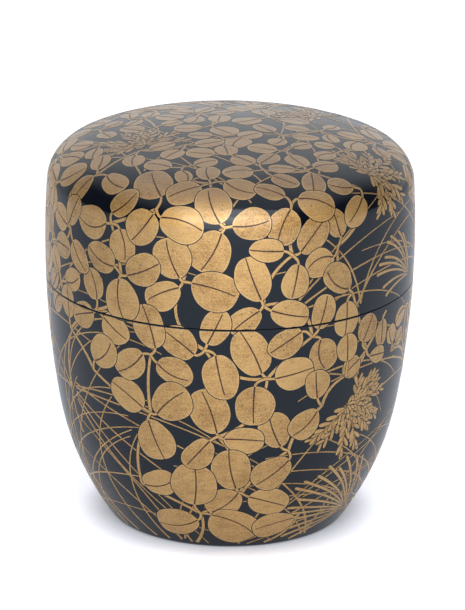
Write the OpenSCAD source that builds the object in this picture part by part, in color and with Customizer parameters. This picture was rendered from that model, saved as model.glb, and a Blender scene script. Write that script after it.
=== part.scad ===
// Lidded tea caddy: a thin turned wooden box with a lift-off lid, coated in ground and lacquer.
// Every coat is an even offset of the outside or of the hollow, so all pieces follow one outline.
// Millimetres, +Z up, origin at the centre of the base.

/* [Outside form] */
// Largest outside diameter, on the lid just above the seam
outer_d = 68; // [62:0.5:80]
// Overall height with the lid on
outer_h = 74; // [70:0.5:80]
// Diameter of the base where the belly would meet the table with a sharp edge
base_d = 43; // [38:0.5:47]
// Height of the seam between body and lid
seam_h = 46; // [43:0.5:49]
// Radius of the long curve of the side
side_r = 180; // [150:5:220]
// Lean of the side curve above its widest point, in degrees
side_up_deg = 3.4; // [2.8:0.1:4]
// Lean of the side curve below its widest point, in degrees
side_down_deg = 9.5; // [8:0.1:11]
// Radius of the lid's shoulder
shoulder_r = 7.2; // [6.2:0.1:8.4]
// Radius of the blend between the shoulder and the domed top
blend_r = 25; // [20:1:32]
// Slope where the shoulder becomes the blend, in degrees
blend_deg = 23.5; // [19:0.5:28]
// Slope where the blend becomes the dome, in degrees
dome_deg = 9; // [7:0.5:11]

/* [Base] */
// Radius that rounds the edge between belly and base
base_edge_r = 1.4; // [1:0.1:2]
// Width of the flat ring that the caddy stands on
foot_w = 3.2; // [2:0.1:5]
// Depth of the hollow inside that ring
foot_hollow = 0.5; // [0.2:0.1:1]

/* [Lid fit] */
// Thickness of the lid's finished wall at its widest point
lid_wall = 2.4; // [2.2:0.1:3]
// Height of the body's upright rim above the seam
rim_h = 8.5; // [6:0.5:11]
// Thickness of the finished rim
rim_wall = 1.9; // [1.7:0.1:2.4]
// Radial clearance between the rim and the lid
rim_clearance = 0.12; // [0.08:0.01:0.3]

/* [Hollow of the body] */
// Thickness of the finished bottom at its centre
bottom_wall = 4.2; // [3.5:0.1:6]
// Radius between the hollow's floor and its side
hollow_corner_r = 10; // [7:0.5:13]

/* [Coats] */
// Thickness of the outer lacquer
lacquer = 0.3; // [0.25:0.05:0.4]
// Thickness of the clay ground under the outer lacquer
ground = 0.35; // [0.2:0.05:0.5]
// Thickness of the lacquer in the hollows
inner_lacquer = 0.3; // [0.2:0.05:0.4]
// Width of the small bevels beside the seam and on the rim
edge_bevel = 0.2; // [0.1:0.05:0.22]

/* [Hidden] */
$fn = 144;

// An arc is drawn with steps that leave it by no more than this, and turn by no more than the angle
chord_error = 0.015;
largest_turn = 5;
// Points closer than this are one point
same_point = 0.001;
// Slope of the bank around the hollow in the base
bank_deg = 45;
polished_black = [0.06, 0.06, 0.07];
hollow_black = [0.05, 0.05, 0.06];

outer_r = outer_d / 2;
coats = lacquer + ground;
rim_top = seam_h + rim_h;
lid_hollow_r = outer_r - lid_wall;
rim_r = lid_hollow_r - rim_clearance;
mouth_r = rim_r - rim_wall;
floor_h = bottom_wall + foot_hollow;

// ---- The outline as tangent arcs --------------------------------------------------------------
// Slope is 0 at the top's centre, 90 at the widest point and 180 under the base.
// The outward normal at a slope is (sin, cos), so a point on an arc is centre + radius * normal.
function normal(slope) = [sin(slope), cos(slope)];
function slope_of(from, to) = atan2(to.x - from.x, to.y - from.y);

// Centres found from the side curve upwards, first with the widest point at height 0
side_at_0 = [outer_r - side_r, 0];
shoulder_at_0 = side_at_0 + (side_r - shoulder_r) * normal(90 - side_up_deg);
blend_at_0 = shoulder_at_0 + (shoulder_r - blend_r) * normal(blend_deg);
dome_r = blend_r + blend_at_0.x / sin(dome_deg);
dome_at_0 = blend_at_0 + (blend_r - dome_r) * normal(dome_deg);
widest_h = outer_h - dome_at_0.y - dome_r;

lift = [0, widest_h];
side_c = side_at_0 + lift;
shoulder_c = shoulder_at_0 + lift;
blend_c = blend_at_0 + lift;
dome_c = [0, dome_at_0.y + widest_h];

// The belly leaves the side curve along its tangent and ends on the base's sharp edge
belly_start = side_c + side_r * normal(90 + side_down_deg);
base_edge = [base_d / 2, 0];
to_base = base_edge - belly_start;
belly_r = (to_base * to_base) / (-2 * to_base * normal(90 + side_down_deg));
belly_c = belly_start - belly_r * normal(90 + side_down_deg);

// The rounded edge touches the belly from inside and the base plane
edge_c = [belly_c.x + sqrt(pow(belly_r - base_edge_r, 2) - pow(base_edge_r - belly_c.y, 2)), base_edge_r];
edge_slope = slope_of(belly_c, edge_c);

// ---- The hollow of the body -------------------------------------------------------------------
// Its wall is straight inside the rim. Below the seam it follows the outside, at the even thickness
// that makes the two meet, and an arc leads down to the floor.
body_wall = side_r - norm([mouth_r, seam_h] - side_c);
hollow_r = belly_r - body_wall;
corner_h = floor_h + hollow_corner_r;
corner_c = [belly_c.x + sqrt(pow(hollow_r - hollow_corner_r, 2) - pow(corner_h - belly_c.y, 2)), corner_h];
corner_slope = slope_of(belly_c, corner_c);

// ---- Point lists ------------------------------------------------------------------------------
function turn_step(r) = min(largest_turn, 2 * acos(1 - chord_error / r));
// The count comes from the uncoated radius, so that facing coats have the same steps
function arc_points(c, r, s0, s1, full_r) =
    let (n = ceil(abs(s1 - s0) / turn_step(full_r)))
    [for (i = [0 : n]) c + r * normal(s0 + (s1 - s0) * i / n)];
// Slope at which the side curve, set in by t, crosses a height, and its radius there
function side_slope(height, t) = 90 + asin((side_c.y - height) / (side_r - t));
function side_radius(height, t) = side_c.x + (side_r - t) * sin(side_slope(height, t));

// The outside set in by t, from the top's centre down to the widest point
function cap_outline(t) = concat(
    arc_points(dome_c, dome_r - t, 0, dome_deg, dome_r),
    arc_points(blend_c, blend_r - t, dome_deg, blend_deg, blend_r),
    arc_points(shoulder_c, shoulder_r - t, blend_deg, 90 - side_up_deg, shoulder_r),
    arc_points(side_c, side_r - t, 90 - side_up_deg, 90, side_r));

// The lid's outside set in by t, ending at a height above the seam
function lid_outline(t, end_above) = concat(
    cap_outline(t),
    arc_points(side_c, side_r - t, 90, side_slope(seam_h + end_above, t), side_r));

// The lid's hollow grown by t. Below the widest point its wall is straight.
function lid_hollow(t) = cap_outline(lid_wall - t);

// The belly set in by t, from the base up to a depth below the seam
function belly_outline(t, end_below) = concat(
    arc_points(edge_c, base_edge_r - t, 180, edge_slope, base_edge_r),
    arc_points(belly_c, belly_r - t, edge_slope, 90 + side_down_deg, belly_r),
    arc_points(side_c, side_r - t, 90 + side_down_deg, side_slope(seam_h - end_below, t), side_r));

// The underside set in by t, from the axis out to the foot of the bank
function base_outline(t) =
    let (bank_r = edge_c.x - foot_w - t * tan(bank_deg / 2))
    [[0, foot_hollow + t], [bank_r - foot_hollow / tan(bank_deg), foot_hollow + t], [bank_r, t]];

// Slope at which the hollow, grown by t, has curved in as far as its straight wall
function mouth_slope(t) = 180 - asin((mouth_r + t - side_c.x) / (side_r - body_wall + t));
// The body's hollow grown by t, from the axis up to where its wall is straight
function body_hollow(t) = concat(
    [[0, floor_h - t]],
    arc_points(corner_c, hollow_corner_r + t, 180, corner_slope, hollow_corner_r),
    arc_points(belly_c, hollow_r + t, corner_slope, 90 + side_down_deg, belly_r),
    arc_points(side_c, side_r - body_wall + t, 90 + side_down_deg, mouth_slope(t), side_r));

// Radius at which the belly's lacquer meets the rim's, on the ledge
ledge_joint_r = side_radius(seam_h - lacquer, lacquer);

function reversed(points) = [for (i = [len(points) - 1 : -1 : 0]) points[i]];
// Neighbouring arcs share their end point, which is kept once
function distinct(points) =
    [for (i = [0 : len(points) - 1]) if (i == 0 || norm(points[i] - points[i - 1]) > same_point) points[i]];

module turned(points) {
    rotate_extrude() polygon(distinct(points));
}

// ---- Body -------------------------------------------------------------------------------------
// Turned wooden cup, with the thin upright rim that the lid slides over
module body_wood_core() {
    color("burlywood") turned(concat(
        base_outline(coats),
        belly_outline(coats, coats),
        [[rim_r - coats, seam_h - coats],
         [rim_r - coats, rim_top - coats],
         [mouth_r + inner_lacquer, rim_top - coats]],
        reversed(body_hollow(inner_lacquer))));
}

// Clay ground that levels the wood under the lacquer
module body_ground_coat() {
    color("dimgray") turned(concat(
        base_outline(lacquer),
        belly_outline(lacquer, lacquer),
        [[rim_r - lacquer, seam_h - lacquer],
         [rim_r - lacquer, rim_top - lacquer],
         [mouth_r + inner_lacquer, rim_top - lacquer],
         [mouth_r + inner_lacquer, rim_top - coats],
         [rim_r - coats, rim_top - coats],
         [rim_r - coats, seam_h - coats]],
        reversed(belly_outline(coats, coats)),
        reversed(base_outline(coats))));
}

// Polished black lacquer on the belly, bevelled at the seam
module body_outer_lacquer() {
    color(polished_black) turned(concat(
        belly_outline(0, edge_bevel),
        [[side_radius(seam_h, 0) - edge_bevel, seam_h],
         [ledge_joint_r, seam_h]],
        reversed(belly_outline(lacquer, lacquer))));
}

// Lacquer under the base: the flat ring it stands on and the shallow hollow inside
module base_lacquer() {
    color(polished_black) turned(concat(
        base_outline(0),
        [[edge_c.x, 0],
         [edge_c.x, lacquer]],
        reversed(base_outline(lacquer))));
}

// Lacquer on the ledge under the lid and over the upright rim
module rim_lacquer() {
    color(polished_black) turned([
        [ledge_joint_r, seam_h],
        [rim_r, seam_h],
        [rim_r, rim_top - edge_bevel],
        [rim_r - edge_bevel, rim_top],
        [mouth_r + edge_bevel, rim_top],
        [mouth_r, rim_top - edge_bevel],
        [mouth_r, rim_top - lacquer],
        [rim_r - lacquer, rim_top - lacquer],
        [rim_r - lacquer, seam_h - lacquer],
        [ledge_joint_r, seam_h - lacquer]]);
}

// Black lacquer that lines the hollow where the tea is kept
module body_inner_lacquer() {
    color(hollow_black) turned(concat(
        body_hollow(inner_lacquer),
        [[mouth_r + inner_lacquer, rim_top - lacquer],
         [mouth_r, rim_top - lacquer]],
        reversed(body_hollow(0))));
}

// ---- Lid --------------------------------------------------------------------------------------
// Turned wooden cap
module lid_wood_core() {
    color("burlywood") turned(concat(
        lid_outline(coats, coats),
        [[lid_hollow_r + inner_lacquer, seam_h + coats]],
        reversed(lid_hollow(inner_lacquer))));
}

// Clay ground over the cap, turned in under its edge
module lid_ground_coat() {
    color("dimgray") turned(concat(
        lid_outline(lacquer, lacquer),
        [[lid_hollow_r + inner_lacquer, seam_h + lacquer],
         [lid_hollow_r + inner_lacquer, seam_h + coats]],
        reversed(lid_outline(coats, coats))));
}

// Polished black lacquer over the cap and its edge, bevelled at the seam
module lid_outer_lacquer() {
    color(polished_black) turned(concat(
        lid_outline(0, edge_bevel),
        [[side_radius(seam_h, 0) - edge_bevel, seam_h],
         [lid_hollow_r + edge_bevel, seam_h],
         [lid_hollow_r, seam_h + edge_bevel],
         [lid_hollow_r, seam_h + lacquer]],
        reversed(lid_outline(lacquer, lacquer))));
}

// Black lacquer that lines the cap
module lid_inner_lacquer() {
    color(hollow_black) turned(concat(
        lid_hollow(inner_lacquer),
        [[lid_hollow_r + inner_lacquer, seam_h + lacquer],
         [lid_hollow_r, seam_h + lacquer]],
        reversed(lid_hollow(0))));
}

body_wood_core();
body_ground_coat();
body_outer_lacquer();
base_lacquer();
rim_lacquer();
body_inner_lacquer();
lid_wood_core();
lid_ground_coat();
lid_outer_lacquer();
lid_inner_lacquer();
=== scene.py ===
"""A lidded tea caddy in black lacquer with a gold-powder decoration of bush clover and autumn grasses."""
import logging
import math
from dataclasses import dataclass, field
from enum import Enum
from typing import Any, ClassVar, Optional, Sequence, Union

import bpy
import numpy as np
from mathutils import Matrix, Vector
from mathutils.geometry import delaunay_2d_cdt


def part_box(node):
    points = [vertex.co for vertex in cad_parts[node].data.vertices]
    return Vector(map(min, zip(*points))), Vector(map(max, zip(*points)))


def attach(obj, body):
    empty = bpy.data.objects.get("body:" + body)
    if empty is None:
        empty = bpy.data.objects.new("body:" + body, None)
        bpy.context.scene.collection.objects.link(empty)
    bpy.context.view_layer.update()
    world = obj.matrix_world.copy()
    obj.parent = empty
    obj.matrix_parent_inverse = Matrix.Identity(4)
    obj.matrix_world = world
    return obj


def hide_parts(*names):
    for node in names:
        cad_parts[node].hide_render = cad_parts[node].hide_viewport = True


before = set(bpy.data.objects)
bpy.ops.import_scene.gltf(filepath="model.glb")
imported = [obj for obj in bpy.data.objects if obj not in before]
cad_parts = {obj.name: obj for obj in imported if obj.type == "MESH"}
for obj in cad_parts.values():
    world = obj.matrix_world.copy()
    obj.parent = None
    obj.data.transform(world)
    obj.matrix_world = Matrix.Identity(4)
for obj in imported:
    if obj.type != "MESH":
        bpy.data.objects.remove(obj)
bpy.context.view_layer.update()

MM = 0.001
LOG = logging.getLogger("tea_caddy")
Colour = tuple[float, float, float]
Section = list[tuple[float, float]]
Inputs = dict[Union[int, str], Any]
Number = Union[float, np.ndarray]
EVEN = (1.0, 1.0, 1.0)
TINY = 1e-9


# ---- Shader writing ----
class Value:
    """A socket that takes part in sums; each operator adds one Math node."""

    def __init__(self, recipe: "Recipe", socket: bpy.types.NodeSocket) -> None:
        """Keeps the socket and the recipe that it belongs to."""
        self.recipe = recipe
        self.socket = socket

    def _math(self, operation: str, first: Any, second: Any) -> "Value":
        """Adds a Math node.

        Args:
            operation: the node's operation.
            first: its first operand, a Value or a number.
            second: its second operand, a Value or a number.

        Returns:
            The node's result.
        """
        node = self.recipe.node("ShaderNodeMath", {"operation": operation}, {0: first, 1: second})
        return Value(self.recipe, node.outputs[0])

    def __add__(self, other: Any) -> "Value":
        """Sum."""
        return self._math("ADD", self, other)

    def __radd__(self, other: Any) -> "Value":
        """Sum with a number on the left."""
        return self._math("ADD", other, self)

    def __sub__(self, other: Any) -> "Value":
        """Difference."""
        return self._math("SUBTRACT", self, other)

    def __rsub__(self, other: Any) -> "Value":
        """Difference with a number on the left."""
        return self._math("SUBTRACT", other, self)

    def __mul__(self, other: Any) -> "Value":
        """Product."""
        return self._math("MULTIPLY", self, other)

    def __rmul__(self, other: Any) -> "Value":
        """Product with a number on the left."""
        return self._math("MULTIPLY", other, self)

    def ramp(self, low: float, high: float) -> "Value":
        """A smooth step.

        Args:
            low: the value that gives 0.
            high: the value that gives 1.

        Returns:
            The step, from 0 to 1.
        """
        node = self.recipe.node("ShaderNodeMapRange", {"interpolation_type": "SMOOTHSTEP"},
                                {"Value": self, "From Min": low, "From Max": high})
        return Value(self.recipe, node.outputs["Result"])


class Recipe:
    """One material, written node by node."""

    def __init__(self, name: str, tree: Optional[bpy.types.NodeTree] = None) -> None:
        """Starts an empty material, or writes into a node tree that is given.

        Args:
            name: the material's name.
            tree: a tree to write into instead, such as the world's.
        """
        self.material = None if tree else bpy.data.materials.new(name)
        if self.material:
            self.material.use_nodes = True
        self.tree = tree or self.material.node_tree
        self.tree.nodes.clear()

    def node(self, kind: str, settings: dict[str, Any], inputs: Inputs) -> bpy.types.Node:
        """Adds a node.

        Args:
            kind: the node's type.
            settings: its settings, set first.
            inputs: values or links of its sockets.

        Returns:
            The node.
        """
        made = self.tree.nodes.new(kind)
        for name, setting in settings.items():
            setattr(made, name, setting)
        for name, value in inputs.items():
            socket = made.inputs[name]
            if isinstance(value, Value):
                self.tree.links.new(value.socket, socket)
            elif isinstance(value, bpy.types.NodeSocket):
                self.tree.links.new(value, socket)
            elif socket.type == "RGBA" and len(value) == 3:
                socket.default_value = (*value, 1.0)
            else:
                socket.default_value = value
        return made

    def value(self, kind: str, output: str, settings: dict[str, Any], inputs: Inputs) -> Value:
        """Adds a node, as node() does, and gives one output of it."""
        return Value(self, self.node(kind, settings, inputs).outputs[output])

    def place(self, stretch: Sequence[float] = EVEN) -> bpy.types.NodeSocket:
        """The place on the object, in metres.

        Args:
            stretch: scale along the object's axes.

        Returns:
            The place.
        """
        where = self.node("ShaderNodeTexCoord", {}, {}).outputs["Object"]
        inputs = {"Vector": where, "Scale": stretch}
        return self.node("ShaderNodeMapping", {"vector_type": "POINT"}, inputs).outputs["Vector"]

    def noise(self, per_metre: float, detail: float = 2.0, rough: float = 0.5, bend: float = 0.0,
              stretch: Sequence[float] = EVEN) -> Value:
        """Fractal noise.

        Args:
            per_metre: how many cells fit in a metre.
            detail: the number of finer octaves.
            rough: how strong they are.
            bend: distortion.
            stretch: scale along the object's axes.

        Returns:
            The noise, about 0.5 in the middle.
        """
        inputs = {"Vector": self.place(stretch), "Scale": per_metre, "Detail": detail, "Roughness": rough,
                  "Distortion": bend}
        return self.value("ShaderNodeTexNoise", "Fac", {"noise_dimensions": "3D"}, inputs)

    def cells(self, per_metre: float) -> Value:
        """Distance to the nearest of scattered points, in cells."""
        inputs = {"Vector": self.place(), "Scale": per_metre, "Randomness": 1.0}
        return self.value("ShaderNodeTexVoronoi", "Distance", {"feature": "F1"}, inputs)

    def along(self, axis: str, where: Optional[bpy.types.NodeSocket] = None) -> Value:
        """One coordinate of a vector, or of the place on the object in metres if none is given."""
        return self.value("ShaderNodeSeparateXYZ", axis, {}, {"Vector": where or self.place()})

    def ray(self, kind: str) -> Value:
        """Whether a ray is of one kind, as 1 or 0."""
        return self.value("ShaderNodeLightPath", f"Is {kind} Ray", {}, {})

    def painted(self, name: str) -> Value:
        """A number that the mesh carries."""
        return self.value("ShaderNodeAttribute", "Fac", {"attribute_name": name}, {})

    def mix(self, share: Any, first: Any, second: Any) -> bpy.types.NodeSocket:
        """Mixes two colours.

        Args:
            share: how much of the second, from 0 to 1.
            first: the first colour or its socket.
            second: the second colour or its socket.

        Returns:
            The mixed colour.
        """
        made = self.node("ShaderNodeMix", {"data_type": "RGBA"}, {0: share, 6: first, 7: second})
        return made.outputs[2]

    def bump(self, height: Value, distance: float, strength: float = 1.0) -> bpy.types.NodeSocket:
        """A bumped normal.

        Args:
            height: the height, in units of distance.
            distance: metres.
            strength: share of the effect.

        Returns:
            The normal.
        """
        inputs = {"Height": height, "Distance": distance, "Strength": strength}
        return self.node("ShaderNodeBump", {}, inputs).outputs["Normal"]

    def surface(self, **inputs: Any) -> bpy.types.Material:
        """Ends the material with a Principled shader.

        Args:
            inputs: the shader's sockets, with underscores for spaces.

        Returns:
            The finished material.
        """
        sockets = {name.replace("_", " "): value for name, value in inputs.items()}
        shader = self.node("ShaderNodeBsdfPrincipled", {}, sockets)
        return self.finish(shader)

    def finish(self, shader: bpy.types.Node) -> bpy.types.Material:
        """Ends the material with a shader that is ready."""
        self.node("ShaderNodeOutputMaterial", {}, {"Surface": shader.outputs[0]})
        return self.material


# ---- Finishes ----
@dataclass(frozen=True)
class BlackLacquer:
    """Polished black lacquer: deep, glossy, with a faint waviness, hairlines and dust."""

    name: str = "black_lacquer"
    slot: str = "black_lacquer"
    depth: Colour = (0.0020, 0.0030, 0.0065)
    dusty: Colour = (0.10, 0.10, 0.10)
    cast: Colour = (0.80, 0.90, 1.0)
    roughness: float = 0.085
    haze: float = 0.05
    wave_m: float = 0.000006

    def make(self) -> bpy.types.Material:
        """Writes the material.

        Returns:
            The material.
        """
        recipe = Recipe(self.name)
        dust = recipe.cells(900.0).ramp(0.09, 0.03)
        hairline = recipe.noise(420.0, 3.0, 0.6, 1.2, (1.0, 1.0, 0.12)).ramp(0.66, 0.72)
        cloud = recipe.noise(60.0, 3.0)
        rough = self.roughness + cloud * self.haze + hairline * 0.10 + dust * 0.3
        colour = recipe.mix(dust * 0.25, self.depth, self.dusty)
        wave = recipe.noise(160.0, 1.0) + recipe.noise(900.0, 1.0) * 0.12
        return recipe.surface(Base_Color=colour, Roughness=rough, IOR=1.5, Specular_Tint=(*self.cast, 1.0),
                              Normal=recipe.bump(wave, self.wave_m))


@dataclass(frozen=True)
class GoldPowder:
    """Burnished gold powder: fine grain, brush streaks, a lighter outline, small pits and worn spots, with
    painted shade that makes it darker and browner on the dome.
    """

    name: str = "gold_powder"
    slot: str = "gold_powder"
    light: Colour = (0.65, 0.418, 0.165)
    deep: Colour = (0.34, 0.184, 0.057)
    bare: Colour = (0.030, 0.016, 0.008)
    edge: Colour = (0.74, 0.54, 0.28)
    # Painted shade on the dome: a darker, browner colour, and the heights in metres where it begins and where
    # it is fully mixed in.
    top_shade: Colour = (0.215, 0.148, 0.120)
    top_shade_low: float = 0.0655
    top_shade_high: float = 0.0715
    roughness: float = 0.61
    relief_m: float = 0.000012

    def make(self) -> bpy.types.Material:
        """Writes the material.

        Returns:
            The material.
        """
        recipe = Recipe(self.name)
        tone = recipe.painted("tone")
        rim = recipe.painted("rim")
        cloud = recipe.noise(260.0, 4.0, 0.7)
        grain = recipe.noise(4600.0, 2.0, 0.7)
        polish = recipe.noise(3600.0, 2.0, 0.6, 0.2, (0.10, 0.10, 1.0))
        share = 0.32 + (cloud - 0.5) * 1.15 + (grain - 0.5) * 2.0 + (polish - 0.5) * 0.7 + (tone - 0.5) * 0.30
        colour = recipe.mix(share.ramp(0.0, 1.0), self.light, self.deep)
        # Painted shade: higher up the dome the gold is mixed towards a darker, browner colour, in place of
        # the shade that falls on the top.
        upper = recipe.along("Z").ramp(self.top_shade_low, self.top_shade_high)
        colour = recipe.mix(upper * 0.55, colour, self.top_shade)
        colour = recipe.mix(rim * 0.45, colour, self.edge)
        patches = (recipe.noise(230.0, 2.0) + tone * 0.16).ramp(0.60, 0.72)
        pits = recipe.cells(1300.0).ramp(0.26, 0.14) * patches
        worn = recipe.noise(420.0, 4.0, 0.75).ramp(0.66, 0.73)
        lost = pits + worn * 0.6
        colour = recipe.mix(lost * 0.75, colour, self.bare)
        rough = self.roughness + (grain - 0.5) * 0.16 + (cloud - 0.5) * 0.14
        relief = grain + polish * 0.8 - lost * 1.5
        normal = recipe.bump(relief, self.relief_m, 0.9)
        return recipe.surface(Base_Color=colour, Metallic=1.0 - lost * 0.8, Roughness=rough, Coat_Weight=0.85,
                              Coat_Roughness=0.12, Coat_IOR=1.5, Normal=normal)


@dataclass(frozen=True)
class DrawnLine:
    """Dark red-brown lacquer, in the fine lines left between the gold."""

    name: str = "drawn_line_lacquer"
    slot: str = "black_lacquer"
    colour: Colour = (0.030, 0.010, 0.005)
    rubbed: Colour = (0.075, 0.028, 0.012)

    def make(self) -> bpy.types.Material:
        """Writes the material.

        Returns:
            The material.
        """
        recipe = Recipe(self.name)
        cloud = recipe.noise(900.0, 3.0)
        colour = recipe.mix(cloud, self.colour, self.rubbed)
        return recipe.surface(Base_Color=colour, Roughness=0.22 + cloud * 0.12, IOR=1.5,
                              Normal=recipe.bump(cloud, 0.000004))


@dataclass(frozen=True)
class HollowLacquer:
    """Plain black lacquer in the hollows, less polished, with faint turning marks."""

    name: str = "hollow_lacquer"
    slot: str = "inner_lacquer"
    depth: Colour = (0.006, 0.0055, 0.006)
    dusty: Colour = (0.09, 0.085, 0.075)

    def make(self) -> bpy.types.Material:
        """Writes the material.

        Returns:
            The material.
        """
        recipe = Recipe(self.name)
        rings = recipe.noise(700.0, 2.0, 0.5, 0.0, (0.08, 0.08, 1.0))
        cloud = recipe.noise(90.0, 3.0)
        dust = recipe.cells(700.0).ramp(0.08, 0.03)
        colour = recipe.mix(dust * 0.3, self.depth, self.dusty)
        return recipe.surface(Base_Color=colour, Roughness=0.17 + cloud * 0.10 + dust * 0.3, IOR=1.5,
                              Normal=recipe.bump(rings + cloud * 0.5, 0.000008))


@dataclass(frozen=True)
class TurnedWood:
    """Seasoned wood, turned: upright grain with fine pores and rings from the tool."""

    name: str = "turned_wood"
    slot: str = "wood"
    early: Colour = (0.46, 0.27, 0.125)
    late: Colour = (0.27, 0.135, 0.055)
    pore: Colour = (0.12, 0.055, 0.022)

    def make(self) -> bpy.types.Material:
        """Writes the material.

        Returns:
            The material.
        """
        recipe = Recipe(self.name)
        grain = recipe.noise(190.0, 5.0, 0.6, 1.5, (1.0, 1.0, 0.08))
        pores = recipe.noise(2400.0, 2.0, 0.6, 0.0, (1.0, 1.0, 0.05)).ramp(0.60, 0.72)
        tool = recipe.value("ShaderNodeTexWave", "Fac", {"bands_direction": "Z", "wave_profile": "SIN"},
                            {"Vector": recipe.place(), "Scale": 520.0, "Distortion": 0.6})
        colour = recipe.mix(grain.ramp(0.35, 0.68), self.early, self.late)
        colour = recipe.mix(pores * 0.6, colour, self.pore)
        return recipe.surface(Base_Color=colour, Roughness=0.62 + grain * 0.2,
                              Normal=recipe.bump(tool * 0.6 + grain - pores, 0.00002))


@dataclass(frozen=True)
class ClayGround:
    """Clay and raw lacquer, rubbed level: dark, matt and finely gritty."""

    name: str = "clay_ground"
    slot: str = "ground"
    colour: Colour = (0.045, 0.036, 0.03)
    rubbed: Colour = (0.095, 0.075, 0.06)

    def make(self) -> bpy.types.Material:
        """Writes the material.

        Returns:
            The material.
        """
        recipe = Recipe(self.name)
        grit = recipe.noise(3200.0, 3.0, 0.7)
        cloud = recipe.noise(150.0, 3.0)
        colour = recipe.mix(cloud * 0.6 + grit * 0.4, self.colour, self.rubbed)
        return recipe.surface(Base_Color=colour, Roughness=0.78 + grit * 0.15,
                              Normal=recipe.bump(grit, 0.000015))


# ---- Form ----
def half_turns(angle: Number) -> Number:
    """An angle, or an array of them, brought to between -pi and pi."""
    return (angle + math.pi) % (2 * math.pi) - math.pi


def put_object(name: str, data: Any) -> bpy.types.Object:
    """Makes an object of a mesh, lamp or camera and links it to the scene.

    Args:
        name: the object's name.
        data: what it shows.

    Returns:
        The object.
    """
    made = bpy.data.objects.new(name, data)
    bpy.context.scene.collection.objects.link(made)
    return made


@dataclass(frozen=True)
class Arc:
    """Part of the outline: an arc in the (radius, height) plane, by the slope of its surface."""

    x: float
    z: float
    radius: float
    start: float
    end: float

    def points(self, inset: float, error: float = 0.002) -> Section:
        """Points along the arc.

        Args:
            inset: how far the arc lies inside the outline.
            error: the largest gap between the arc and its chords, in mm.

        Returns:
            Radius and height of each point, in mm.
        """
        chord = 2.0 * math.acos(1.0 - error / self.radius)
        count = max(2, math.ceil(abs(self.end - self.start) / chord))
        r = self.radius - inset
        slopes = [self.start + (self.end - self.start) * i / count for i in range(count + 1)]
        return [(self.x + r * math.sin(a), self.z + r * math.cos(a)) for a in slopes]


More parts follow.
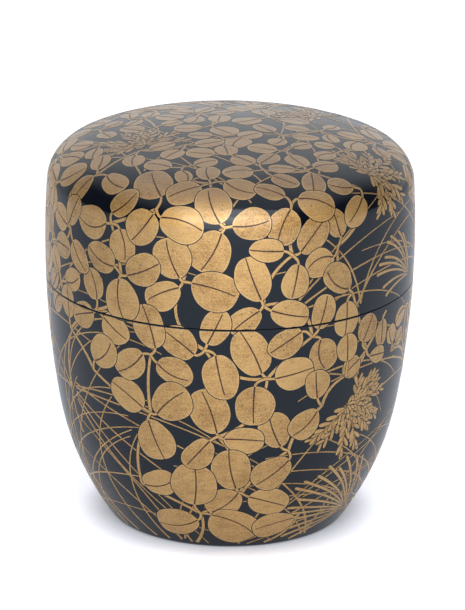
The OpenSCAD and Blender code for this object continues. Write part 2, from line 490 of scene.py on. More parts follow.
@dataclass
class CaddyForm:
    """The turned form in millimetres: every coat and the decoration follow its outline.

    A place on the outside is (s, a): s is the distance along the outline from the top's centre,
    and a the angle about the axis from the front, growing to the right.
    """

    outer_r: float = 34.0
    outer_h: float = 74.0
    base_r: float = 21.5
    seam_h: float = 46.0
    side_r: float = 180.0
    side_up: float = math.radians(3.4)
    side_down: float = math.radians(9.5)
    shoulder_r: float = 7.2
    blend_r: float = 25.0
    blend_slope: float = math.radians(23.5)
    dome_slope: float = math.radians(9.0)
    edge_r: float = 1.4
    foot_w: float = 3.2
    foot_hollow: float = 0.5
    lid_wall: float = 2.4
    rim_h: float = 8.5
    rim_gap: float = 0.12
    rim_wall: float = 1.9
    bottom_wall: float = 4.2
    corner_r: float = 10.0
    coat: float = 0.3
    bevel: float = 0.20
    lip: float = 0.05
    gold: float = 0.045

    def __post_init__(self) -> None:
        """Works out the arcs and the tables for finding places on them."""
        half = math.pi / 2.0
        side_x = self.outer_r - self.side_r
        reach = self.side_r - self.shoulder_r
        sh_x = side_x + reach * math.sin(half - self.side_up)
        sh_z = reach * math.cos(half - self.side_up)
        reach = self.shoulder_r - self.blend_r
        bl_x = sh_x + reach * math.sin(self.blend_slope)
        bl_z = sh_z + reach * math.cos(self.blend_slope)
        dome_r = self.blend_r + bl_x / math.sin(self.dome_slope)
        dome_z = bl_z + (self.blend_r - dome_r) * math.cos(self.dome_slope)
        self.widest_h = self.outer_h - dome_z - dome_r
        low = half + self.side_down
        start = (side_x + self.side_r * math.sin(low), self.widest_h + self.side_r * math.cos(low))
        run = (self.base_r - start[0], -start[1])
        out = run[0] * math.sin(low) + run[1] * math.cos(low)
        self.belly_r = -(run[0] ** 2 + run[1] ** 2) / (2.0 * out)
        be_x, be_z = start[0] - self.belly_r * math.sin(low), start[1] - self.belly_r * math.cos(low)
        self.edge_x = be_x + math.sqrt((self.belly_r - self.edge_r) ** 2 - (self.edge_r - be_z) ** 2)
        edge_slope = math.atan2(self.edge_x - be_x, self.edge_r - be_z)
        up = self.widest_h
        self.arcs = [
            Arc(0.0, dome_z + up, dome_r, 0.0, self.dome_slope),
            Arc(bl_x, bl_z + up, self.blend_r, self.dome_slope, self.blend_slope),
            Arc(sh_x, sh_z + up, self.shoulder_r, self.blend_slope, half - self.side_up),
            Arc(side_x, up, self.side_r, half - self.side_up, low),
            Arc(be_x, be_z, self.belly_r, low, edge_slope),
            Arc(self.edge_x, self.edge_r, self.edge_r, edge_slope, math.pi),
        ]
        self.side, self.belly, self.edge = self.arcs[3:]
        table = np.array([(c.x, c.z, c.radius, c.start, (c.end - c.start) * c.radius) for c in self.arcs])
        self._cx, self._cz, self._r, self._start, lengths = table.T
        self._ends = np.cumsum(lengths)
        self._begins = self._ends - lengths
        down_the_side = self.side_slope(self.seam_h, 0.0) - self.side.start
        self.seam_s = float(self._begins[3] + down_the_side * self.side_r)
        self.foot_s = float(self._begins[5])
        self.lid_hollow_r = self.outer_r - self.lid_wall
        self.rim_r = self.lid_hollow_r - self.rim_gap
        self.mouth_r = self.rim_r - self.rim_wall
        self.rim_top = self.seam_h + self.rim_h

    @classmethod
    def from_frame(cls) -> "CaddyForm":
        """Takes the overall size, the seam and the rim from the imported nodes.

        Returns:
            The form.
        """
        lid_low, lid_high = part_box("lid_outer_lacquer")
        rim_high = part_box("rim_lacquer")[1]
        seam = lid_low.z / MM
        return cls(outer_r=(lid_high.x - lid_low.x) / 2 / MM, outer_h=lid_high.z / MM, seam_h=seam,
                   rim_h=rim_high.z / MM - seam)

    def side_slope(self, height: float, inset: float) -> float:
        """Slope at which the side, set in, crosses a height."""
        return math.pi / 2 + math.asin((self.widest_h - height) / (self.side_r - inset))

    def side_at(self, height: float, inset: float) -> float:
        """Radius at which the side, set in, crosses a height."""
        return self.outer_r - self.side_r + (self.side_r - inset) * math.sin(self.side_slope(height, inset))

    def at(self, s: np.ndarray) -> tuple[np.ndarray, np.ndarray, np.ndarray]:
        """The outline at distances along it.

        Args:
            s: distances from the top's centre, in mm.

        Returns:
            Radius, height and slope of the surface.
        """
        s = np.clip(s, 0.0, self._ends[-1] - 1e-6)
        i = np.searchsorted(self._ends, s, side="right")
        slope = self._start[i] + (s - self._begins[i]) / self._r[i]
        return self._cx[i] + self._r[i] * np.sin(slope), self._cz[i] + self._r[i] * np.cos(slope), slope

    def radius(self, s: Number) -> np.ndarray:
        """Distance from the axis at a distance along the outline, never quite 0."""
        return np.maximum(self.at(np.asarray(s, float))[0], 0.05)

    def points(self, sa: np.ndarray, height: float) -> tuple[np.ndarray, np.ndarray]:
        """Places in space.

        Args:
            sa: an array of (s, a).
            height: distance out from the outline, in mm.

        Returns:
            Positions in mm, and outward normals.
        """
        r, z, slope = self.at(sa[:, 0])
        sin, cos = np.sin(slope), np.cos(slope)
        r = r + height * sin
        east, south = np.sin(sa[:, 1]), -np.cos(sa[:, 1])
        out = np.stack([sin * east, sin * south, cos], 1)
        return np.stack([r * east, r * south, z + height * cos], 1), out


@dataclass(frozen=True)
class Chart:
    """A flat map of the outside around one place; x grows to the right and y towards the top's centre."""

    form: CaddyForm
    s: float
    a: float
    dome: bool
    dome_s: ClassVar[float] = 25.0

    @classmethod
    def around(cls, form: CaddyForm, s: float, a: float, dome: Optional[bool] = None) -> "Chart":
        """A map around (s, a): the dome's own map near the top, and otherwise the side's."""
        return cls(form, float(s), float(a), s < cls.dome_s if dome is None else dome)

    def flat(self, sa: np.ndarray) -> np.ndarray:
        """From places to the map.

        Args:
            sa: an array of (s, a).

        Returns:
            An array of (x, y), in mm.
        """
        if self.dome:
            p = np.stack([sa[:, 0] * np.sin(sa[:, 1]), -sa[:, 0] * np.cos(sa[:, 1])], 1)
            p = p - (self.s * math.sin(self.a), -self.s * math.cos(self.a))
            cos, sin = math.cos(self.a), math.sin(self.a)
            return np.stack([p[:, 0] * cos + p[:, 1] * sin, -p[:, 0] * sin + p[:, 1] * cos], 1)
        turn = half_turns(sa[:, 1] - self.a)
        return np.stack([turn * float(self.form.radius(self.s)), self.s - sa[:, 0]], 1)

    def sa(self, xy: np.ndarray) -> np.ndarray:
        """From the map to places.

        Args:
            xy: an array of (x, y), in mm.

        Returns:
            An array of (s, a).
        """
        if self.dome:
            cos, sin = math.cos(self.a), math.sin(self.a)
            px = self.s * sin + xy[:, 0] * cos - xy[:, 1] * sin
            py = -self.s * cos + xy[:, 0] * sin + xy[:, 1] * cos
            return np.stack([np.hypot(px, py), np.arctan2(px, -py)], 1)
        return np.stack([self.s - xy[:, 1], self.a + xy[:, 0] / float(self.form.radius(self.s))], 1)


# ---- Turned shells ----
@dataclass
class TurnedShell:
    """A closed shell turned from a section, fine enough to reflect smoothly."""

    name: str
    section: Section
    around: int = 240
    crease: float = math.radians(24.0)
    same: float = 1e-4

    def build(self) -> bpy.types.Object:
        """Makes the mesh.

        Returns:
            The shell, in metres.
        """
        pts = [self.section[0]]
        for p in self.section[1:]:
            if math.dist(p, pts[-1]) > self.same:
                pts.append(p)
        if math.dist(pts[0], pts[-1]) < self.same:
            pts.pop()
        verts: list[tuple[float, float, float]] = []
        rows: list[list[int]] = []
        for r, z in pts:
            if r < 1e-6:
                verts.append((0.0, 0.0, z * MM))
                rows.append([len(verts) - 1] * self.around)
                continue
            first = len(verts)
            for k in range(self.around):
                turn = 2 * math.pi * k / self.around
                verts.append((r * MM * math.sin(turn), -r * MM * math.cos(turn), z * MM))
            rows.append(list(range(first, first + self.around)))
        faces = []
        for i in range(len(rows)):
            low, high = rows[i], rows[(i + 1) % len(rows)]
            if low[0] == low[1] and high[0] == high[1]:
                continue
            for k in range(self.around):
                j = (k + 1) % self.around
                loop = [low[k], low[j], high[j], high[k]]
                faces.append([v for n, v in enumerate(loop) if v not in loop[:n]])
        mesh = bpy.data.meshes.new(self.name)
        mesh.from_pydata(verts, [], faces)
        mesh.polygons.foreach_set("use_smooth", np.ones(len(mesh.polygons), bool))
        mesh.set_sharp_from_angle(angle=self.crease)
        mesh.update()
        if self._volume(mesh) < 0:
            mesh.flip_normals()
        return put_object(self.name, mesh)

    @staticmethod
    def _volume(mesh: bpy.types.Mesh) -> float:
        """Signed volume, to tell which way the faces look.

        Args:
            mesh: a closed mesh.

        Returns:
            Six times its volume, below 0 where the faces look inwards.
        """
        mesh.calc_loop_triangles()
        co = np.array([v.co for v in mesh.vertices])
        tri = np.array([t.vertices[:] for t in mesh.loop_triangles])
        a, b, c = co[tri[:, 0]], co[tri[:, 1]], co[tri[:, 2]]
        return float(np.einsum("ij,ij->i", a, np.cross(b, c)).sum())


# ---- Decoration ----
class Motif(Enum):
    """What a painted shape belongs to."""

    LEAF = "leaves"
    STEM = "stems"
    GRASS = "grasses"
    FLOWER = "flowers"


def progress(value: float, start: float, width: float) -> float:
    """How far a value has gone from start over a width, from 0 to 1."""
    return min(max((value - start) / width, 0.0), 1.0)


@dataclass
class Painted:
    """One shape of the decoration, as outlines in (s, a)."""

    motif: Motif
    outline: np.ndarray
    grown: np.ndarray
    inner: Optional[np.ndarray]
    lines: list[np.ndarray]
    order: float
    family: int
    tone: float
    middle: tuple[float, float]
    grid: float = 1.4


def inside(points: np.ndarray, polygon: np.ndarray) -> np.ndarray:
    """Which points lie in a polygon.

    Args:
        points: (n, 2) points.
        polygon: (m, 2) corners.

    Returns:
        One truth value for each point.
    """
    found = np.zeros(len(points), bool)
    near = np.nonzero(((points >= polygon.min(0)) & (points <= polygon.max(0))).all(1))[0]
    if not len(near):
        return found
    x, y = points[near, 0][:, None], points[near, 1][:, None]
    ax, ay = polygon[:, 0][None], polygon[:, 1][None]
    bx, by = np.roll(polygon[:, 0], -1)[None], np.roll(polygon[:, 1], -1)[None]
    crosses = (ay > y) != (by > y)
    with np.errstate(divide="ignore", invalid="ignore"):
        at = ax + (y - ay) * (bx - ax) / (by - ay)
    found[near] = (np.sum(crosses & (x < at), 1) % 2).astype(bool)
    return found


def ribbon(path: np.ndarray, widths: np.ndarray) -> np.ndarray:
    """A closed ribbon along a path.

    Args:
        path: (n, 2) points in mm.
        widths: the width at each.

    Returns:
        The ribbon's outline.
    """
    ahead = np.gradient(path, axis=0)
    ahead /= np.maximum(np.linalg.norm(ahead, axis=1, keepdims=True), TINY)
    across = np.stack([-ahead[:, 1], ahead[:, 0]], 1) * widths[:, None] / 2
    return np.concatenate([path - across, (path + across)[::-1]])


Chunk = tuple[np.ndarray, np.ndarray, np.ndarray, float]
# Places in the stack, from the lowest; what lies higher cuts what lies under it.
GRASS_ORDER, STEM_ORDER, FAN_ORDER, STALK_ORDER, PETAL_ORDER, LEAF_ORDER = 2.0, 5.0, 6.0, 7.0, 8.6, 10.0


@dataclass
class GoldFilm:
    """The decoration's shapes made into thin closed films on the outside, cut where one covers another."""

    form: CaddyForm
    shapes: list[Painted]
    sunk: float = 0.03  # depth of a film's underside below the lacquer
    proud: float = -0.01  # height of its top, from the caddy's outline
    line_rise: float = 0.004  # height of a drawn line above the lacquer
    margin: float = 0.3  # room left around a shape, and above the foot ring
    near_s: float = 0.4  # shapes this close may cover one another
    near_a: float = 0.02
    top_s: float = 9.0  # a shape that comes this near the top's centre may reach all round
    widest: float = 80.0  # a cover wider than this on the map has been torn open
    merge: float = 1e-5
    least_area: float = 1e-7
    parts: dict[tuple[str, str], list[Chunk]] = field(default_factory=dict)

    def cut_all(self) -> None:
        """Cuts every shape by those over it, and sorts what is left by piece."""
        boxes = np.array([self._span(s) for s in self.shapes])
        order = np.array([s.order for s in self.shapes])
        for index, shape in enumerate(self.shapes):
            turn = np.abs(half_turns(boxes[:, 1] - boxes[index, 1]))
            near = (np.abs(boxes[:, 0] - boxes[index, 0]) < boxes[:, 2] + boxes[index, 2] + self.near_s)
            near &= (turn < boxes[:, 3] + boxes[index, 3] + self.near_a) & (order > shape.order)
            self._cut(shape, [self.shapes[k] for k in np.nonzero(near)[0]])

    def _span(self, shape: Painted) -> tuple[float, float, float, float]:
        """Where a shape lies; near the top's centre it may reach all round.

        Args:
            shape: the shape.

        Returns:
            Middle in s, middle in a, half the span in s and half the span in a.
        """
        s, a = shape.outline[:, 0], shape.outline[:, 1]
        turn = half_turns(a - shape.middle[1])
        s_mid, s_half = (s.max() + s.min()) / 2, (s.max() - s.min()) / 2
        if s.min() < self.top_s:
            return s_mid, shape.middle[1], s_half, 2 * math.pi
        return s_mid, shape.middle[1] + (turn.max() + turn.min()) / 2, s_half, (turn.max() - turn.min()) / 2

    def _cut(self, shape: Painted, over: list[Painted]) -> None:
        """Cuts one shape and adds its triangles to the pieces.

        Args:
            shape: the shape.
            over: the shapes that may cover it.
        """
        chart = Chart.around(self.form, *shape.middle)
        outline = chart.flat(shape.outline)
        low, high = outline.min(0) - self.margin, outline.max(0) + self.margin
        covers = self._covers(chart, shape, over, low, high)
        lines = [chart.flat(line) for line in shape.lines]
        core = outline if shape.inner is None else chart.flat(shape.inner)
        verts: list[np.ndarray] = []
        edges: list[tuple[int, int]] = []
        for loop in (core, outline, *covers, *lines):
            base = sum(len(v) for v in verts)
            n = len(loop)
            verts.append(loop)
            edges.extend((base + i, base + (i + 1) % n) for i in range(n))
        seam = self.form.seam_s
        gaps = (seam - self.form.bevel, seam + self.form.bevel, self.form.foot_s - self.margin)
        if not chart.dome:
            for s in gaps:
                y = chart.s - s
                if low[1] < y < high[1]:
                    base = sum(len(v) for v in verts)
                    verts.append(np.array([[low[0] - 1, y], [high[0] + 1, y]]))
                    edges.append((base, base + 1))
        xs, ys = np.arange(low[0], high[0], shape.grid), np.arange(low[1], high[1], shape.grid)
        gx, gy = np.meshgrid(xs, ys)
        gx[1::2] += shape.grid / 2
        dots = np.stack([gx.ravel(), gy.ravel()], 1)
        dots = dots[inside(dots, core)]
        verts.append(dots)
        co, tri, sources = self._triangles(np.concatenate(verts), edges)
        middles = co[tri].mean(1)
        keep = inside(middles, outline)
        for cover in covers:
            keep &= ~inside(middles, cover)
        tri, middles = tri[keep], middles[keep]
        if not len(tri):
            return
        lined = np.zeros(len(tri), bool)
        for line in lines:
            lined |= inside(middles, line)
        places = chart.sa(co)
        s_mid = chart.sa(middles)[:, 0]
        rim = np.zeros(len(co))
        if shape.inner is not None:
            on_core = np.array([any(k < len(core) for k in ids) for ids in sources])
            rim[~(on_core | inside(co, core))] = 1.0
        for half, chosen in (("lid", s_mid < gaps[0]), ("body", (s_mid > gaps[1]) & (s_mid < gaps[2]))):
            for motif, pick in ((shape.motif.value, chosen & ~lined), ("lines", chosen & lined)):
                if pick.any():
                    self._store((half, motif), places, tri[pick], rim, shape.tone)

    def _covers(self, chart: Chart, shape: Painted, over: list[Painted], low: np.ndarray,
                high: np.ndarray) -> list[np.ndarray]:
        """Outlines of the shapes that cover a place on the map.

        Args:
            chart: the map.
            shape: the shape that is cut.
            over: the shapes that may cover it.
            low: the place's lower corner.
            high: its upper corner.

        Returns:
            The outlines, grown by the gap that each leaves.
        """
        covers = []
        for other in over:
            flat = chart.flat(other.outline if other.family == shape.family else other.grown)
            near = (flat.max(0) > low).all() and (flat.min(0) < high).all()
            if near and np.ptp(flat[:, 0]) < self.widest:
                covers.append(flat)
        return covers

    def _triangles(self, points: np.ndarray,
                   edges: list[tuple[int, int]]) -> tuple[np.ndarray, np.ndarray, list[list[int]]]:
        """Joins points to triangles that keep the given edges.

        Args:
            points: the points on the map.
            edges: pairs of point numbers.

        Returns:
            Corners, three corner numbers for each triangle, and the points that each corner comes from.
        """
        co, _, tri, sources, _, _ = delaunay_2d_cdt([Vector(p) for p in points], edges, [], 0, self.merge)
        co = np.array([(c.x, c.y) for c in co])
        tri = np.array([t for t in tri if len(t) == 3])
        a, b, c = co[tri[:, 0]], co[tri[:, 1]], co[tri[:, 2]]
        area = (b[:, 0] - a[:, 0]) * (c[:, 1] - a[:, 1]) - (b[:, 1] - a[:, 1]) * (c[:, 0] - a[:, 0])
        tri[area < 0] = tri[area < 0][:, ::-1]
        return co, tri[np.abs(area) > self.least_area], sources

    def _store(self, key: tuple[str, str], places: np.ndarray, tri: np.ndarray, rim: np.ndarray,
               tone: float) -> None:
        """Keeps the triangles of one shape for a piece.

        Args:
            key: the half and the kind of shape.
            places: the corners as (s, a).
            tri: three corner numbers for each triangle.
            rim: 1 at corners on the shape's rim, 0 elsewhere.
            tone: 0 light to 1 deep.
        """
        used, flat = np.unique(tri, return_inverse=True)
        self.parts.setdefault(key, []).append((places[used], flat.reshape(-1, 3), rim[used], tone))

    def build(self, half: str, motif: str, name: str) -> Optional[bpy.types.Object]:
        """Makes one piece from the kept triangles.

        Args:
            half: lid or body.
            motif: the kind of shape.
            name: the piece's name.

        Returns:
            The piece, or None where it has no triangles.
        """
        chunks = self.parts.get((half, motif))
        if not chunks:
            return None
        top_h = self.proud if motif != "lines" else -self.form.gold + self.line_rise
        low_h = -self.form.gold - self.sunk
        co, faces, normals, rims, tones = [], [], [], [], []
        base = 0
        for places, tri, rim, tone in chunks:
            top, up = self.form.points(places, top_h)
            low, _ = self.form.points(places, low_h)
            n = len(places)
            edges = {(t[i], t[(i + 1) % 3]): None for t in tri for i in range(3)}
            rim_edges = [(i, j) for i, j in edges if (j, i) not in edges]
            co += [top, low]
            faces.append(tri + base)
            faces.append(tri[:, ::-1] + base + n)
            normals.append(up[tri.ravel()])
            normals.append(-up[tri[:, ::-1].ravel()])
            if rim_edges:
                e = np.array(rim_edges)
                i, j = e[:, 0], e[:, 1]
                wall = np.cross(top[j] - top[i], up[i])
                wall /= np.maximum(np.linalg.norm(wall, axis=1, keepdims=True), 1e-12)
                faces.append(np.stack([i + base, i + base + n, j + base + n], 1))
                faces.append(np.stack([i + base, j + base + n, j + base], 1))
                normals += [np.repeat(wall, 3, 0), np.repeat(wall, 3, 0)]
            rims.append(np.concatenate([rim, rim]))
            tones.append(np.full(2 * n, tone))
            base += 2 * n
        marks = {"rim": np.concatenate(rims), "tone": np.concatenate(tones)}
        verts = np.concatenate(co) * MM
        return self._mesh(name, verts, np.concatenate(faces), np.concatenate(normals), marks)

    @staticmethod
    def _mesh(name: str, verts: np.ndarray, faces: np.ndarray, normals: np.ndarray,
              marks: dict[str, np.ndarray]) -> bpy.types.Object:
        """Writes a mesh of triangles.

        Args:
            name: its name.
            verts: the corners in metres.
            faces: three corner numbers for each triangle.
            normals: one for each corner of each triangle.
            marks: numbers that its corners carry, by name.

        Returns:
            The object.
        """
        corners = faces.astype(np.int32)
        mesh = bpy.data.meshes.new(name)
        mesh.vertices.add(len(verts))
        mesh.vertices.foreach_set("co", verts.ravel())
        mesh.loops.add(corners.size)
        mesh.loops.foreach_set("vertex_index", corners.ravel())
        mesh.polygons.add(len(corners))
        mesh.polygons.foreach_set("loop_start", np.arange(0, corners.size, 3, dtype=np.int32))
        mesh.update(calc_edges=True)
        mesh.validate()
        mesh.polygons.foreach_set("use_smooth", np.ones(len(mesh.polygons), bool))
        for label, numbers in marks.items():
            data = mesh.attributes.new(label, "FLOAT", "POINT").data
            data.foreach_set("value", numbers.astype(np.float32))
        if len(normals) == len(mesh.loops):
            mesh.normals_split_custom_set(normals.tolist())
        else:
            LOG.warning("%s: %d loops, %d normals", name, len(mesh.loops), len(normals))
        return put_object(name, mesh)


@dataclass(frozen=True)
class Clearing:
    """A soft-edged place on the outside that is kept free of leaves."""

    s: float
    a: float
    half_s: float
    half_a: float

    def depth(self, s: np.ndarray, a: np.ndarray) -> np.ndarray:
        """How far inside places are: above 0 inside, 1 in the middle."""
        turn = half_turns(a - math.radians(self.a))
        return 1.0 - np.abs((s - self.s) / self.half_s) ** 3 - np.abs(turn / math.radians(self.half_a)) ** 3


@dataclass(frozen=True)
class Tuft:
    """Grass blades that rise from one root and bend over outwards; s is None at the foot."""

    s: Optional[float]
    a: float
    leans: tuple[float, ...]
    bend: float
    length: float


@dataclass(frozen=True)
class Fan:
    """A fan of blunt blades: its root, middle direction, whole angle, blades, length, width and bend."""

    s: float
    a: float
    lean: float
    spread: float
    count: int
    length: float
    width: float
    bend: float


@dataclass(frozen=True)
class Plume:
    """A feathery flower head: its root, middle direction, whole angle, branches, their reach and petals."""

    s: float
    a: float
    lean: float
    spread: float
    branches: int
    reach: float
    petal: float


# Blades of a tussock that sweep over from its root: first direction, curl and length.
SWEEPING = ((72, 48, 34), (86, 42, 42), (100, 32, 50), (113, 24, 50), (126, 18, 44), (141, 6, 34))
# Blades that start beside its root: rise, offset, first direction, curl, length and width.
ARCHING = ((0, 3, -6, 132, 34, 0.64), (5, 9, -2, 122, 38, 0.4), (9, 0, -22, 132, 38, 0.38),
           (1, 17, 30, 84, 38, 0.33), (11, 10, 6, 84, 38, 0.34), (15, 16, 16, 96, 40, 0.34))
# Blades that rise from the foot below it: offset, first direction, curl and length.
RISING = ((13, -44, 84, 36), (24, -38, 80, 34), (34, -30, 66, 27), (43, -20, 60, 14), (4, -30, 66, 26),
          (-6, 6, 60, 30), (-16, 20, 44, 34))
TUFTS = (
    Tuft(None, 5.0, (16, 28, 40, 52, 64), 52.0, 46.0),
    Tuft(None, -20.0, (-14, -27, 10), 60.0, 38.0),
    Tuft(None, 38.0, (-34, -18, 8, 24), 72.0, 32.0),
    Tuft(None, 88.0, (-64, -52, -39, -26, -12, 10, 24, 40, 56), 66.0, 46.0),
    Tuft(None, 116.0, (-42, -24, -8, 14, 32), 70.0, 44.0),
    Tuft(None, 160.0, (-50, -36, -22, -8, 16, 32), 64.0, 42.0),
    Tuft(None, -92.0, (-50, -36, -21, -7, 9, 24, 40, 57), 66.0, 46.0),
    Tuft(None, -140.0, (-40, -22, 12, 30), 60.0, 36.0),
    Tuft(None, -74.0, (-44, -31, -20, -9, 5), 50.0, 44.0),
    Tuft(None, 72.0, (-34, -16, 6, 22, 36), 62.0, 38.0),
    Tuft(74.0, -62.0, (-34, -56, -80), 50.0, 24.0),
    Tuft(72.0, 82.0, (-84, -66, -40), 56.0, 34.0),
    Tuft(66.0, 30.0, (52, 76, 98), 50.0, 28.0),
    Tuft(62.0, -88.0, (40, 58, 76), 56.0, 34.0),
    Tuft(54.2, 18.0, (28, 42, 56, 68), 52.0, 36.0),
    Tuft(54.4, 44.0, (-30, -12, 14, 34), 84.0, 28.0),
    Tuft(54.4, 92.0, (-62, -46, -30, -14, 12), 58.0, 36.0),
    Tuft(54.2, -64.0, (36, 52, -20), 60.0, 34.0),
    Tuft(54.2, -146.0, (-52, -30, 28, 48), 62.0, 30.0),
    Tuft(54.2, 150.0, (-40, 20, 44), 66.0, 30.0),
)
FANS = (
    Fan(98.5, 60.0, -52.0, 104.0, 15, 17.0, 0.60, -14.0),
    Fan(52.5, 73.0, -44.0, 76.0, 9, 13.5, 0.56, -34.0),
    Fan(98.5, 168.0, -40.0, 104.0, 14, 16.0, 0.60, -14.0),
    Fan(54.0, -134.0, -40.0, 80.0, 10, 13.0, 0.56, -30.0),
)
PLUMES = (
    Plume(73.0, 42.0, 146.0, 150.0, 8, 10.5, 2.5),
    Plume(73.5, 45.0, 62.0, 84.0, 3, 8.0, 2.3),
    Plume(30.0, 56.0, 88.0, 170.0, 9, 9.5, 2.5),
    Plume(18.0, -60.0, -84.0, 170.0, 8, 9.0, 2.4),
    Plume(73.0, 158.0, 150.0, 140.0, 6, 9.0, 2.7),
    Plume(37.0, -156.0, 80.0, 150.0, 7, 8.5, 2.6),
    Plume(20.0, 126.0, 70.0, 150.0, 6, 8.0, 2.6),
)
# Blades across the dome: x, y, first direction, curl and length.
TOP_BLADES = ((-16.0, -22.0, 20, 70, 34), (6.0, -27.0, -30, -40, 30), (-26.0, -8.0, 50, 60, 36),
              (20.0, -20.0, -60, 50, 40), (24.0, 4.0, -80, 60, 40), (-20.0, 14.0, 100, -50, 36),
              (4.0, 24.0, 150, 50, 36), (-8.0, -26.0, 70, -60, 36))


def ring_of_blades(count: int = 11, radius: float = 29.0, apart: float = 0.571) -> list[tuple[float, ...]]:
    """Blades that start around the dome's edge, in the columns of TOP_BLADES.

    Args:
        count: the number of blades.
        radius: how far from the axis they start.
        apart: the turn from one to the next, in radians.

    Returns:
        One row for each blade.
    """
    rows = []
    for k in range(count):
        turn = k * apart
        lean = math.degrees(-turn) + (38.0 if k % 2 else -44.0)
        curl = -46.0 if k % 3 else 40.0
        rows.append((radius * math.sin(turn), -radius * math.cos(turn), lean, curl, 34.0 + 3.0 * (k % 4)))
    return rows


@dataclass
class LeafSpot:
    """One leaf's place: where it is, how it points and how large it is."""

    s: float
    a: float
    turn: float
    half_length: float
    half_width: float
    node: int


class LeafCrowd:
    """Leaves that settle together, and the nodes that hold them."""

    def __init__(self, hubs: np.ndarray) -> None:
        """Starts with the nodes alone.

        Args:
            hubs: their positions in mm.
        """
        self.hubs = hubs
        self.pos = np.zeros((0, 3))
        self.size = np.zeros(0)
        self.wide = np.zeros(0)
        self.owner = np.zeros(0, int)

    def add(self, pos: np.ndarray, size: float, wide: float, owner: int) -> None:
        """Adds a leaf.

        Args:
            pos: its middle in space.
            size: half its length.
            wide: half its width.
            owner: the number of its node.
        """
        self.pos = np.concatenate([self.pos, pos[None]])
        self.size, self.wide = np.append(self.size, size), np.append(self.wide, wide)
        self.owner = np.append(self.owner, owner)

    @property
    def reach(self) -> np.ndarray:
        """The room that each leaf takes, as the radius of a disc."""
        return (self.size + self.wide) / 2


